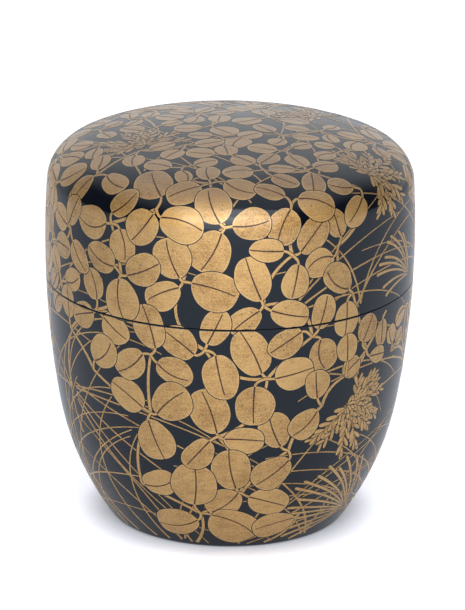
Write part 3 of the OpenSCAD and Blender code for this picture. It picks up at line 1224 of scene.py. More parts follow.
@dataclass
class LeafBed:
    """Where the leaves grow: nodes and leaves spread over the outside, away from the clearings."""

    form: CaddyForm
    rng: np.random.Generator
    node_tries: int = 9000
    fill_tries: int = 5200
    node_room: float = 1.20  # least gap between nodes, by the size of their leaves
    stalk: float = 1.6  # length of a stalk
    bare_foot: float = 5.5  # height above the foot that stays free of leaves
    small: float = 2.95  # half the length of the smallest leaf
    third: float = 2.094  # turn from one leaf of a node to the next
    closeness: float = 0.93  # how near leaves settle, by their room
    push: float = 0.30  # share of an overlap that one round takes away
    pull: float = 0.16  # share of the way back to its node
    stay: float = 0.7  # how much a node stays, and how much it follows its leaves
    follow: float = 0.3
    hub_reach: float = 0.95  # a node keeps clear of other leaves by this share of their room
    hub_gap: float = 0.6  # and this much more
    least_room: float = 0.58  # a leaf is added only where it has this share of its size
    room_use: float = 1.30  # and takes up to this share of the room
    longest_stalk: float = 3.6  # and its node is no farther than this, by its size
    node_depth: float = -0.05  # how deep in a clearing nodes, leaves and added leaves may lie
    leaf_depth: float = -0.10
    fill_depth: float = -0.02
    rounds: tuple[int, ...] = (70, 45, 30, 20)
    last_round: int = 16
    clearings: tuple[Clearing, ...] = (
        Clearing(85.0, -62.0, 23.0, 28.0),
        Clearing(91.0, 62.0, 24.0, 38.0),
        Clearing(47.5, 64.0, 9.5, 22.0),
        Clearing(31.0, 64.0, 7.5, 12.0),
        Clearing(17.0, -70.0, 5.5, 17.0),
        Clearing(88.0, 144.0, 22.0, 27.0),
        Clearing(45.0, -146.0, 12.0, 15.0),
        Clearing(20.0, 130.0, 6.5, 18.0),
    )

    def __post_init__(self) -> None:
        """Starts the tables of the outline."""
        self.table_s = np.linspace(0.0, self.form.foot_s, 900)
        r, z, _ = self.form.at(self.table_s)
        self.table_rz = np.stack([r, z], 1)
        self.area = np.concatenate([[0.0], np.cumsum((r[1:] + r[:-1]) / 2 * np.diff(self.table_s))])

    def scatter(self, count: int) -> np.ndarray:
        """Random places, even over the surface.

        Args:
            count: how many.

        Returns:
            An array of (s, a).
        """
        s = np.interp(self.rng.random(count) * self.area[-1], self.area, self.table_s)
        return np.stack([s, self.rng.random(count) * 2 * math.pi - math.pi], 1)

    def space(self, sa: np.ndarray) -> np.ndarray:
        """Positions in space, in mm."""
        return self.form.points(np.atleast_2d(sa), 0.0)[0]

    def back(self, xyz: np.ndarray) -> np.ndarray:
        """From positions in space to the nearest places.

        Args:
            xyz: positions in mm.

        Returns:
            An array of (s, a).
        """
        r, z = np.hypot(xyz[:, 0], xyz[:, 1])[:, None], xyz[:, 2][:, None]
        d = (r - self.table_rz[None, :, 0]) ** 2 + (z - self.table_rz[None, :, 1]) ** 2
        return np.stack([self.table_s[np.argmin(d, 1)], np.arctan2(xyz[:, 0], -xyz[:, 1])], 1)

    def free(self, s: np.ndarray, a: np.ndarray) -> np.ndarray:
        """How deep in a clearing places lie; 0 or less outside all of them."""
        return np.max([c.depth(s, a) for c in self.clearings], axis=0)

    def leaf_size(self, s: float, a: float) -> float:
        """How large a leaf grows: largest in front, smallest on the dome and at the sides.

        Args:
            s: the place's distance from the top's centre.
            a: its angle.

        Returns:
            Half the leaf's length, in mm.
        """
        turn = math.degrees(half_turns(a))
        front = math.exp(-((turn + 12.0) / 40.0) ** 2) + 0.85 * math.exp(-((abs(turn) - 172.0) / 38.0) ** 2)
        side = self.small + 1.5 * min(front, 1.0) * (0.74 + 0.26 * progress(s, 36.0, 40.0))
        side -= 0.5 * progress(turn, 16.0, 18.0) * progress(s, 56.0, 8.0) * (turn < 90.0)
        dome = progress(s, 23.0, 11.0)
        return self.small * (1.0 - dome) + side * dome

    def settle(self, crowd: LeafCrowd, steps: int) -> None:
        """Lets leaves push one another into place, each held near its node.

        Args:
            crowd: the leaves and nodes, changed in place.
            steps: the number of rounds.
        """
        for _ in range(steps):
            gap = crowd.pos[:, None] - crowd.pos[None]
            dist = np.linalg.norm(gap, axis=2) + np.eye(len(gap)) * 1e6
            reach = crowd.reach
            push = np.maximum((reach[:, None] + reach[None]) * self.closeness - dist, 0.0)
            move = (gap / dist[..., None] * push[..., None]).sum(1) * self.push
            to_hub = crowd.hubs[crowd.owner] - crowd.pos
            far = np.linalg.norm(to_hub, axis=1, keepdims=True)
            move += to_hub / np.maximum(far, 1e-6) * (far - (crowd.size + self.stalk)[:, None]) * self.pull
            pos = crowd.pos + move
            sums = np.zeros_like(crowd.hubs)
            np.add.at(sums, crowd.owner, pos)
            count = np.bincount(crowd.owner, minlength=len(crowd.hubs))[:, None]
            hubs = crowd.hubs * self.stay + sums / np.maximum(count, 1) * self.follow
            gap = hubs[:, None] - pos[None]
            far = np.linalg.norm(gap, axis=2)
            near = np.maximum((reach * self.hub_reach + self.hub_gap)[None] - far, 0.0)
            hubs = hubs + (gap / np.maximum(far, 1e-6)[..., None] * near[..., None]).sum(1) * self.follow
            places = self.back(pos)
            places[:, 0] = np.minimum(places[:, 0], self.form.foot_s - self.bare_foot)
            crowd.pos, crowd.hubs = self.space(places), self.space(self.back(hubs))

    def fill(self, crowd: LeafCrowd) -> int:
        """Adds leaves where the ground is still bare.

        Args:
            crowd: the leaves and nodes, changed in place.

        Returns:
            How many leaves were added.
        """
        added = 0
        tries = self.scatter(self.fill_tries)
        low_end = self.form.foot_s - self.bare_foot
        tries = tries[(self.free(tries[:, 0], tries[:, 1]) < self.fill_depth) & (tries[:, 0] < low_end)]
        for sa, p in zip(tries, self.space(tries)):
            size = self.leaf_size(*sa)
            room = (np.linalg.norm(crowd.pos - p, axis=1) - crowd.reach).min()
            if room < size * self.least_room:
                continue
            far = np.linalg.norm(crowd.hubs - p, axis=1)
            hub = int(np.argmin(far))
            if far[hub] > size * self.longest_stalk:
                continue
            length = min(size * self.rng.uniform(0.9, 1.15), room * self.room_use)
            crowd.add(p, length, length * self.rng.uniform(0.64, 0.94), hub)
            added += 1
        return added

    def grow(self) -> tuple[np.ndarray, list[LeafSpot]]:
        """Places nodes with three leaves each, settles them and fills what stays bare.

        Returns:
            The nodes as (s, a), and the leaves.
        """
        nodes: list[np.ndarray] = []
        spread: list[float] = []
        for sa in self.scatter(self.node_tries):
            if sa[0] > self.form.foot_s - self.bare_foot - 1.0 or self.free(*sa) > self.node_depth:
                continue
            size = self.leaf_size(*sa)
            p = self.space(sa)[0]
            if all(np.linalg.norm(p - q) > self.node_room * (size + w) for q, w in zip(nodes, spread)):
                nodes.append(p)
                spread.append(size)
        crowd = LeafCrowd(np.array(nodes))
        for index, p in enumerate(nodes):
            sa = self.back(p[None])[0]
            chart = Chart.around(self.form, *sa)
            first = self.rng.random() * 2 * math.pi
            for k in range(3):
                size = self.leaf_size(*sa) * self.rng.uniform(0.84, 1.16)
                turn = first + k * self.third + self.rng.normal(0, 0.25)
                xy = np.array([[math.sin(turn), math.cos(turn)]]) * (size + self.stalk)
                crowd.add(self.space(chart.sa(xy))[0], size, size * self.rng.uniform(0.68, 0.95), index)
        for steps in self.rounds:
            self.settle(crowd, steps)
            LOG.info("leaves: %d, %d added", len(crowd.pos), self.fill(crowd))
        self.settle(crowd, self.last_round)
        places, hub_places = self.back(crowd.pos), self.back(crowd.hubs)
        leaves = []
        for i, sa in enumerate(places):
            if self.free(*sa) > self.leaf_depth:
                continue
            chart = Chart.around(self.form, *sa)
            away = -chart.flat(hub_places[crowd.owner[i]][None])[0]
            turn = math.atan2(away[0], away[1]) + self.rng.normal(0, 0.20)
            drawn = 0.84 + 0.16 * progress(sa[0], 22.0, 11.0)
            drawn -= 0.09 * progress(abs(math.degrees(sa[1])), 28.0, 16.0) * (abs(sa[1]) < 1.9)
            half_length, half_width = crowd.size[i] * drawn, crowd.wide[i] * drawn
            leaves.append(LeafSpot(sa[0], sa[1], turn, half_length, half_width, int(crowd.owner[i])))
        return hub_places, leaves


@dataclass
class AutumnField:
    """Bush clover, grasses and small flowers laid out over the whole outside, from one seed."""

    form: CaddyForm
    seed: int = 11
    leaf_gap: float = 0.17  # line of lacquer left around a leaf
    leaf_rim: float = 0.30  # width of its lighter rim
    leaf_grid: float = 1.35  # spacing of the points inside a leaf
    shoulder: tuple[float, float] = (24.0, 41.0)  # where the outline bends most
    shoulder_grid: float = 0.8
    stroke_grid: float = 4.0
    petal_grid: float = 2.0
    blade_step: float = 1.1  # length of one step along a blade
    vein: float = 0.28  # width of a midrib
    petiole_w: float = 0.5  # width of a leaf's stalk
    foot_gap: float = 0.5  # roots lie this far above the foot
    stem_roots: tuple[int, ...] = (-14, -4, 7, 18, 84, 112, 174, -168, -116, -96)
    shapes: list[Painted] = field(default_factory=list)

    def __post_init__(self) -> None:
        """Starts the random numbers and the bed of leaves."""
        self.rng = np.random.default_rng(self.seed)
        self.bed = LeafBed(self.form, self.rng)
        self.next_family = 1

    def family(self) -> int:
        """A new family number."""
        self.next_family += 1
        return self.next_family

    def draw_leaf(self, spot: LeafSpot, hub: np.ndarray) -> None:
        """Draws a leaf with its midrib, and the stalk from its node.

        Args:
            spot: the leaf's place.
            hub: the node's (s, a).
        """
        rng = self.rng
        chart = Chart.around(self.form, spot.s, spot.a)
        t = np.linspace(0, 2 * math.pi, 44, endpoint=False)
        taper = rng.uniform(-0.05, 0.14)
        lean = rng.normal(0, 0.05)
        square = rng.uniform(0.86, 0.98)
        wobble = 1 + 0.020 * np.cos(3 * t + rng.random() * 6) + 0.013 * np.cos(5 * t + rng.random() * 6)
        y = np.cos(t) * spot.half_length * wobble
        x = np.sign(np.sin(t)) * np.abs(np.sin(t)) ** square * spot.half_width * wobble
        x = x * (1 + taper * np.cos(t)) + lean * y * np.cos(t)
        shape = np.stack([x, y], 1)
        edge = np.roll(shape, -1, 0) - np.roll(shape, 1, 0)
        out = np.stack([-edge[:, 1], edge[:, 0]], 1)
        out /= np.linalg.norm(out, axis=1, keepdims=True)
        cos, sin = math.cos(spot.turn), math.sin(spot.turn)
        rotate = np.array([[cos, -sin], [sin, cos]])
        bow = rng.normal(0, 0.19) * spot.half_width
        end = rng.uniform(0.80, 1.02)
        v = np.linspace(-1.0, end, 16)
        rib = np.stack([bow * (1 - v ** 2) + lean * v * v * spot.half_length, v * spot.half_length], 1)
        vein = ribbon(rib, np.linspace(self.vein * 1.15, self.vein * 0.8, 16))
        family = self.family()
        order = LEAF_ORDER + rng.random()

        def lay(points: np.ndarray) -> np.ndarray:
            """Turns points into place."""
            return chart.sa(points @ rotate)

        grid = self.shoulder_grid if self.shoulder[0] < spot.s < self.shoulder[1] else self.leaf_grid
        self.shapes.append(Painted(Motif.LEAF, lay(shape), lay(shape + out * self.leaf_gap),
                                   lay(shape - out * self.leaf_rim), [lay(vein)], order, family,
                                   float(rng.random()), (spot.s, spot.a), grid))
        foot = chart.flat(hub[None])[0]
        base = (np.array([[lean * spot.half_length, -spot.half_length * 0.95]]) @ rotate)[0]
        tangent = (np.array([[0.0, 1.0]]) @ rotate)[0]
        span = np.linalg.norm(base - foot)
        bend = base - tangent * span * 0.45
        u = np.linspace(0, 1, max(5, int(span / 0.7) + 2))[:, None]
        path = (1 - u) ** 2 * foot + 2 * u * (1 - u) * bend + u ** 2 * base
        self.stroke(Motif.STEM, chart.sa(path), self.petiole_w, self.petiole_w * 0.84, order - 0.0005, family,
                    rng.uniform(0.0, 0.3))

    def stroke(self, motif: Motif, path: np.ndarray, start_w: float, end_w: float, order: float,
               family: int, tone: float, gap: float = 0.12, blunt: bool = False) -> None:
        """Draws a brush stroke.

        Args:
            motif: what it belongs to.
            path: its middle line, as (s, a).
            start_w: its width where it starts, in mm.
            end_w: its width where it ends.
            order: its place in the stack; higher covers lower.
            family: shapes of one family touch without a gap.
            tone: 0 light to 1 deep.
            gap: the gap that it leaves in what it covers.
            blunt: whether it ends round instead of cut off.
        """
        mid = path[len(path) // 2]
        r = self.form.radius(path[:, 0])
        turns = np.unwrap(path[:, 1])
        along = np.cumsum(np.diff(turns) * (r[1:] + r[:-1]) / 2)
        flat = np.stack([np.concatenate([[0], along]), -path[:, 0]], 1)
        widths = np.linspace(start_w, end_w, len(path))
        if blunt:
            way = (flat[-1] - flat[-2]) / np.linalg.norm(flat[-1] - flat[-2])
            cap = np.array([0.5, 0.87, 1.0]) * end_w / 2
            tip = flat[-1] + way * cap[:, None]
            turns = np.concatenate([turns, turns[-1] + way[0] * cap / r[-1]])
            r = np.concatenate([r, np.full(3, r[-1])])
            flat = np.concatenate([flat, tip])
            widths = np.concatenate([widths, end_w * np.array([0.87, 0.5, 0.12])])

        def lay(points: np.ndarray) -> np.ndarray:
            """From the unrolled stroke back to the outside.

            Args:
                points: a ribbon's outline beside the path.

            Returns:
                The outline as (s, a).
            """
            across = points[:, 0] - np.concatenate([flat, flat[::-1]])[:, 0]
            turn = np.concatenate([turns, turns[::-1]]) + across / np.concatenate([r, r[::-1]])
            return np.stack([-points[:, 1], turn], 1)

        outline, grown = lay(ribbon(flat, widths)), lay(ribbon(flat, widths + 2 * gap))
        self.shapes.append(Painted(motif, outline, grown, None, [], order, family, tone,
                                   (float(mid[0]), float(mid[1])), self.stroke_grid))

    def grow_stems(self, hubs: np.ndarray, used: set[int]) -> None:
        """Joins the nodes by stems that rise from the base.

        Args:
            hubs: the nodes as (s, a).
            used: the nodes that carry leaves.
        """
        roots = [(self.form.foot_s - self.foot_gap, math.radians(a)) for a in self.stem_roots]
        places = np.concatenate([hubs, np.array(roots)])
        xyz = self.bed.space(places)
        family = self.family()
        for index in sorted(used):
            best, cost = -1, 1e9
            for k in range(len(places)):
                if k == index or (k < len(hubs) and k not in used):
                    continue
                rise = places[k, 0] - hubs[index, 0]
                if rise < 2.0:
                    continue
                far = float(np.linalg.norm(xyz[k] - xyz[index]))
                score = far * (1.5 - 0.5 * min(rise / max(far, 0.1), 1.0)) * (1.0 if k < len(hubs) else 0.9)
                if score < cost:
                    best, cost = k, score
            if best >= 0 and cost < 40:
                self.curve(places[best], hubs[index], self.rng.normal(0, 0.11), 0.6, 0.48, family)

    def curve(self, low: np.ndarray, high: np.ndarray, bow: float, start_w: float, end_w: float,
              family: int) -> None:
        """A slightly bowed stem from one place to another.

        Args:
            low: where it starts, as (s, a).
            high: where it ends.
            bow: how far it bows out, as a share of its length.
            start_w: its width where it starts, in mm.
            end_w: its width where it ends.
            family: the family that it belongs to.
        """
        middle = (low[0] + high[0]) / 2
        chart = Chart.around(self.form, middle, high[1], middle < 22.0)
        p, q = chart.flat(np.array([low, high]))
        side = np.array([-(q - p)[1], (q - p)[0]]) * bow
        span = float(np.linalg.norm(q - p))
        u = np.linspace(0, 1, max(4, int(span / 0.9)))[:, None]
        path = p + (q - p) * u + side * 4 * u * (1 - u)
        self.stroke(Motif.STEM, chart.sa(path), start_w, end_w, STEM_ORDER + self.rng.random() * 0.1, family,
                    self.rng.uniform(0.1, 0.5))

    def arc(self, root: tuple[float, float], lean: float, curl: float, length: float, width: float,
            tip: float = 0.5) -> None:
        """A long grass blade that arches over.

        Args:
            root: where it starts, s in mm and a in degrees.
            lean: its first direction from upright, in degrees, to the right.
            curl: how far it turns along its length, in degrees.
            length: its length in mm.
            width: its width at the foot.
            tip: its width at the tip, as a share.
        """
        count = max(8, int(length / self.blade_step))
        s, a = root[0], math.radians(root[1])
        path = [(s, a)]
        for k in range(count):
            turn = math.radians(lean + curl * (k / count) ** 1.15)
            s -= math.cos(turn) * length / count
            a += math.sin(turn) * length / count / float(self.form.radius(s))
            if s < 20.0 or s > self.form.foot_s - 0.2:
                break
            path.append((s, a))
        if len(path) > 4:
            self.stroke(Motif.GRASS, np.array(path), width, width * tip, GRASS_ORDER + self.rng.random(),
                        self.family(), self.rng.uniform(0.55, 1.0), 0.0)

    def fountain(self, root: tuple[float, float], mirror: float) -> None:
        """A tussock whose blades arch over on one side and sweep down on the other.

        Args:
            root: where its blades meet, s in mm and a in degrees.
            mirror: 1 to sweep to the right, -1 to the left.
        """
        rng = self.rng
        s, a = root
        for lean, curl, length in SWEEPING:
            start = (s + rng.normal(0, 1.0), a)
            aim = mirror * (lean + rng.normal(0, 3))
            self.arc(start, aim, mirror * (curl + rng.normal(0, 5)), length, 0.33)
        for rise, off, lean, curl, length, width in ARCHING:
            bent = mirror * (curl + rng.normal(0, 6))
            self.arc((s + rise, a - mirror * off), mirror * lean, bent, length, width)
        foot = self.form.foot_s - self.foot_gap
        for off, lean, curl, length in RISING:
            start = (foot, a + mirror * (off + rng.normal(0, 1)))
            self.arc(start, mirror * lean, mirror * curl, length, 0.4)

    def tuft(self, tuft: Tuft) -> None:
        """Draws a tuft.

        Args:
            tuft: its place and blades.
        """
        rng = self.rng
        s = self.form.foot_s - self.foot_gap if tuft.s is None else tuft.s
        for lean in tuft.leans:
            curl = math.copysign(tuft.bend, lean) * rng.uniform(0.75, 1.2)
            start = (s - rng.uniform(0.0, 1.0), tuft.a + rng.normal(0, 1.2))
            aim, length = lean + rng.normal(0, 2.5), tuft.length * rng.uniform(0.8, 1.1)
            self.arc(start, aim, curl, length, rng.uniform(0.33, 0.44), 0.45)

    def over_top(self, x: float, y: float, lean: float, curl: float, length: float) -> None:
        """Draws a long blade across the dome, unless it meets the middle.

        Args:
            x: where it starts, to the right of the axis in mm.
            y: where it starts, to the back of the axis.
            lean: its first direction, from the back to the right in degrees.
            curl: how far it turns along its length.
            length: its length in mm.
        """
        u = np.linspace(0.0, 1.0, max(8, int(length / self.blade_step)))
        aim = np.radians(lean + curl * u)
        steps = np.stack([np.sin(aim), np.cos(aim)], 1) * length / len(u)
        sa = Chart(self.form, 0.0, 0.0, True).sa(np.array([[x, y]]) + np.cumsum(steps, 0))
        if sa[:, 0].min() > 5.0:
            self.stroke(Motif.GRASS, sa, 0.38, 0.27, GRASS_ORDER + self.rng.random(), self.family(),
                        self.rng.uniform(0.1, 0.5), 0.0)

    def fan(self, fan: Fan) -> None:
        """Draws a fan of blunt blades.

        Args:
            fan: its place and blades.
        """
        chart = Chart.around(self.form, fan.s, math.radians(fan.a))
        for k in range(fan.count):
            t = k / (fan.count - 1) * 2 - 1
            turn = math.radians(fan.lean + fan.spread / 2 * t + self.rng.normal(0, 1.2))
            whole = fan.length * (1 - 0.20 * t * t) * self.rng.uniform(0.86, 1.05)
            v = np.linspace(0.05, 1.0, 12) * whole
            aim = turn + math.radians(fan.bend) * (v / whole) ** 1.5
            steps = np.stack([np.sin(aim), np.cos(aim)], 1) * np.diff(v, prepend=0.0)[:, None]
            self.stroke(Motif.GRASS, chart.sa(np.cumsum(steps, 0)), fan.width * 0.45, fan.width,
                        FAN_ORDER + self.rng.random(), self.family(), self.rng.uniform(0.1, 0.5), 0.10, True)

    def petal(self, chart: Chart, place: np.ndarray, aim: float, size: float, order: float) -> None:
        """A small long petal, fuller towards its tip.

        Args:
            chart: the map that it is drawn on.
            place: its foot.
            aim: its direction, in radians.
            size: its length in mm.
            order: its place in the stack.
        """
        d = np.array([math.sin(aim), math.cos(aim)])
        n = np.array([d[1], -d[0]])
        t = np.linspace(0, 2 * math.pi, 18, endpoint=False)
        half = size * self.rng.uniform(0.12, 0.155)

        def around(grow: float) -> np.ndarray:
            """The outline, grown.

            Args:
                grow: by how much, in mm.

            Returns:
                The outline as (s, a).
            """
            y = size / 2 - np.cos(t) * (size / 2 + grow)
            x = np.sin(t) * (half * (1 - 0.30 * np.cos(t)) + grow)
            return chart.sa(place + y[:, None] * d + x[:, None] * n)

        middle = chart.sa((place + d * size / 2)[None])[0]
        self.shapes.append(Painted(Motif.FLOWER, around(0.0), around(0.13), None, [], order, self.family(),
                                   float(self.rng.uniform(0.0, 0.6)), (float(middle[0]), float(middle[1])),
                                   self.petal_grid))

    def plume(self, plume: Plume) -> None:
        """Draws a feathery flower head: short branches of small petals.

        Args:
            plume: its place, branches and petals.
        """
        rng = self.rng
        chart = Chart.around(self.form, plume.s, math.radians(plume.a))
        for b in range(plume.branches):
            t = b / (plume.branches - 1) * 2 - 1
            turn = math.radians(plume.lean + plume.spread / 2 * t + rng.normal(0, 4))
            droop = math.radians(26 * t + rng.normal(0, 6))
            length = plume.reach * (1 - 0.12 * t * t) * rng.uniform(0.88, 1.08)
            v = np.linspace(0, 1, 12)
            aims = turn + droop * v
            axis = np.cumsum(np.stack([np.sin(aims), np.cos(aims)], 1) * length / 11, 0)
            axis -= axis[0]
            self.stroke(Motif.STEM, chart.sa(axis), 0.4, 0.3, STALK_ORDER + rng.random() * 0.1,
                        self.family(), 0.3, 0.1)
            count = int(length / 0.8)
            for k in range(count):
                at = (k + 0.7) / count
                index = min(int(at * 11), 11)
                side = 1 if k % 2 else -1
                aim = float(aims[index]) + side * math.radians(40 - 22 * at) + rng.normal(0, 0.10)
                size = plume.petal * (0.78 + 0.34 * math.sin(math.pi * at)) * rng.uniform(0.86, 1.12)
                self.petal(chart, axis[index], aim, size, PETAL_ORDER - at + rng.random() * 0.12)

    def draw_all(self) -> list[Painted]:
        """Lays out and draws the whole decoration.

        Returns:
            The shapes.
        """
        hubs, leaves = self.bed.grow()
        for spot in leaves:
            self.draw_leaf(spot, hubs[spot.node])
        self.grow_stems(hubs, {spot.node for spot in leaves})
        self.fountain((73.0, -59.0), 1.0)
        self.fountain((78.0, 128.0), 1.0)
        for tuft in TUFTS:
            self.tuft(tuft)
        for blade in (*ring_of_blades(), *TOP_BLADES):
            self.over_top(*blade)
        for fan in FANS:
            self.fan(fan)
        for plume in PLUMES:
            self.plume(plume)
        LOG.info("decoration: %d leaves, %d shapes", len(leaves), len(self.shapes))
        return self.shapes


# ---- Sub-assemblies ----
@dataclass
class Finishes:
    """Every finish of the caddy, made once."""

    black: BlackLacquer = BlackLacquer()
    gold: GoldPowder = GoldPowder()
    line: DrawnLine = DrawnLine()
    hollow: HollowLacquer = HollowLacquer()
    wood: TurnedWood = TurnedWood()
    clay: ClayGround = ClayGround()

    def __post_init__(self) -> None:
        """Writes the materials."""
        every = (self.black, self.gold, self.line, self.hollow, self.wood, self.clay)
        self.made = {finish.name: finish.make() for finish in every}

    def put(self, piece: bpy.types.Object, finish: Any) -> None:
        """Gives a piece its finish, in its first material slot."""
        piece.data.materials.clear()
        piece.data.materials.append(self.made[finish.name])


@dataclass
class Assembly:
    """What the body and the lid have in common."""

    form: CaddyForm
    finishes: Finishes
    body: str

    def add(self, piece: Optional[bpy.types.Object], finish: Any, *stands_for: str) -> None:
        """Dresses a piece, fixes it to its body and reports it.

        Args:
            piece: the piece, or None where there is nothing to add.
            finish: its finish.
            stands_for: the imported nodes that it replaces.
        """
        if piece is None:
            return
        self.finishes.put(piece, finish)
        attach(piece, self.body)
        if stands_for:
            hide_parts(*stands_for)
        LOG.info("%s: %d faces, %s", piece.name, len(piece.data.polygons), finish.name)

    def dress(self, node: str, finish: Any) -> None:
        """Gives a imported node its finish.

        Args:
            node: the node's name.
            finish: the finish.
        """
        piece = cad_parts[node]
        self.finishes.put(piece, finish)
        piece.data.polygons.foreach_set("material_index", np.zeros(len(piece.data.polygons), np.int32))
        LOG.info("%s: packed node, %s", node, finish.name)

    def decorate(self, half: str, film: GoldFilm) -> None:
        """Adds the films of gold and the drawn lines of one half.

        Args:
            half: lid or body.
            film: the cut decoration.
        """
        for motif in Motif:
            self.add(film.build(half, motif.value, f"{half}_gold_{motif.value}"), self.finishes.gold)
        self.add(film.build(half, "lines", f"{half}_leaf_veins"), self.finishes.line)


@dataclass
class CaddyBody(Assembly):
    """The lower half: belly, base, rim and the hollow for the tea."""

    body: str = "caddy_body"

    def hollow_section(self, grow: float) -> Section:
        """The hollow's outline from the axis to its mouth.

        Args:
            grow: how much wider it is than the finished hollow.

        Returns:
            Radius and height of its points.
        """
        f = self.form
        belly, side = f.belly, f.side
        wall = f.side_r - math.hypot(f.mouth_r - side.x, f.seam_h - side.z)
        floor = f.bottom_wall + f.foot_hollow
        hollow_r = belly.radius - wall
        corner_z = floor + f.corner_r
        corner_x = belly.x + math.sqrt((hollow_r - f.corner_r) ** 2 - (corner_z - belly.z) ** 2)
        corner_slope = math.atan2(corner_x - belly.x, corner_z - belly.z)
        mouth_slope = math.pi - math.asin((f.mouth_r + grow - side.x) / (f.side_r - wall + grow))
        runs = (Arc(corner_x, corner_z, f.corner_r, math.pi, corner_slope),
                Arc(belly.x, belly.z, hollow_r, corner_slope, side.end),
                Arc(side.x, side.z, f.side_r - wall, side.end, mouth_slope))
        points = [(0.0, floor - grow)]
        for run in runs:
            points += run.points(-grow)
        return points

    def belly_section(self, inset: float, end_below: float) -> Section:
        """The belly's outline from the base up.

        Args:
            inset: how far it is set in.
            end_below: how far below the seam it ends.

        Returns:
            Radius and height of its points.
        """
        f = self.form
        side = f.side
        end = f.side_slope(f.seam_h - end_below, inset)
        up = [Arc(c.x, c.z, c.radius, c.end, c.start) for c in (f.edge, f.belly)]
        up.append(Arc(side.x, side.z, side.radius, side.end, end))
        return [p for run in up for p in run.points(inset)]

    def base_section(self, inset: float) -> Section:
        """The underside from the axis to the foot ring, with softened turns.

        Args:
            inset: how far it is set in.

        Returns:
            Radius and height of its points.
        """
        f = self.form
        bank = f.edge_x - f.foot_w - inset * math.tan(math.pi / 8)
        top = (bank - f.foot_hollow, f.foot_hollow + inset)
        return [(0.0, f.foot_hollow + inset), (top[0] - 0.25, top[1]), (top[0] + 0.1, top[1] - 0.1 * 0.6),
                (bank - 0.1, inset + 0.06), (bank + 0.25, inset)]

    def build(self, film: GoldFilm) -> None:
        """Makes and dresses the body.

        Args:
            film: the cut decoration.
        """
        f = self.form
        skin = f.gold
        joint = f.side_at(f.seam_h - f.coat, f.coat)
        outer = self.belly_section(skin, f.lip)
        outer += [(f.side_at(f.seam_h, skin) - f.lip, f.seam_h), (joint, f.seam_h)]
        outer += self.belly_section(f.coat, f.coat)[::-1]
        self.add(TurnedShell("body_belly_lacquer", outer).build(), self.finishes.black, "body_outer_lacquer")
        base = self.base_section(0.0) + [(f.edge_x, 0.0), (f.edge_x, f.coat)]
        base += self.base_section(f.coat)[::-1]
        self.add(TurnedShell("body_base_coat", base).build(), self.finishes.black, "base_lacquer")
        b, top, under = f.bevel, f.rim_top, f.rim_top - f.coat
        rim = [(joint, f.seam_h), (f.rim_r, f.seam_h), (f.rim_r, top - b), (f.rim_r - b * 0.3, top - b * 0.3),
               (f.rim_r - b, top), (f.mouth_r + b, top), (f.mouth_r + b * 0.3, top - b * 0.3),
               (f.mouth_r, top - b), (f.mouth_r, under), (f.rim_r - f.coat, under),
               (f.rim_r - f.coat, f.seam_h - f.coat), (joint, f.seam_h - f.coat)]
        self.add(TurnedShell("body_rim_coat", rim).build(), self.finishes.black, "rim_lacquer")
        inner = self.hollow_section(f.coat)
        inner += [(f.mouth_r + f.coat, under), (f.mouth_r, under)]
        inner += self.hollow_section(0.0)[::-1]
        self.add(TurnedShell("body_hollow_coat", inner).build(), self.finishes.hollow, "body_inner_lacquer")
        self.dress("body_wood_core", self.finishes.wood)
        self.dress("body_ground_coat", self.finishes.clay)
        self.decorate("body", film)


@dataclass
class CaddyLid(Assembly):
    """The upper half: the domed cap that slides over the rim."""

    body: str = "caddy_lid"

    def cap_section(self, inset: float) -> Section:
        """The cap's outline from the axis down to the widest point.

        Args:
            inset: how far it is set in.

        Returns:
            Radius and height of its points.
        """
        side = self.form.side
        runs = [*self.form.arcs[:3], Arc(side.x, side.z, side.radius, side.start, math.pi / 2)]
        return [p for run in runs for p in run.points(inset)]

    def lid_section(self, inset: float, end_above: float) -> Section:
        """The lid's outline from the axis down.

        Args:
            inset: how far it is set in.
            end_above: how far above the seam it ends.

        Returns:
            Radius and height of its points.
        """
        f = self.form
        side = f.side
        last = Arc(side.x, side.z, side.radius, math.pi / 2, f.side_slope(f.seam_h + end_above, inset))
        return self.cap_section(inset) + last.points(inset)

    def build(self, film: GoldFilm) -> None:
        """Makes and dresses the lid.

        Args:
            film: the cut decoration.
        """
        f = self.form
        b = f.bevel
        outer = self.lid_section(f.gold, b)
        outer += [(f.side_at(f.seam_h, 0.0) - b, f.seam_h), (f.lid_hollow_r + b, f.seam_h),
                  (f.lid_hollow_r + b * 0.3, f.seam_h + b * 0.3), (f.lid_hollow_r, f.seam_h + b),
                  (f.lid_hollow_r, f.seam_h + f.coat)]
        outer += self.lid_section(f.coat, f.coat)[::-1]
        self.add(TurnedShell("lid_cap_lacquer", outer).build(), self.finishes.black, "lid_outer_lacquer")
        inner = self.cap_section(f.lid_wall - f.coat)
        inner += [(f.lid_hollow_r + f.coat, f.seam_h + f.coat), (f.lid_hollow_r, f.seam_h + f.coat)]
        inner += self.cap_section(f.lid_wall)[::-1]
        self.add(TurnedShell("lid_hollow_coat", inner).build(), self.finishes.hollow, "lid_inner_lacquer")
        self.dress("lid_wood_core", self.finishes.wood)
        self.dress("lid_ground_coat", self.finishes.clay)
        self.decorate("lid", film)


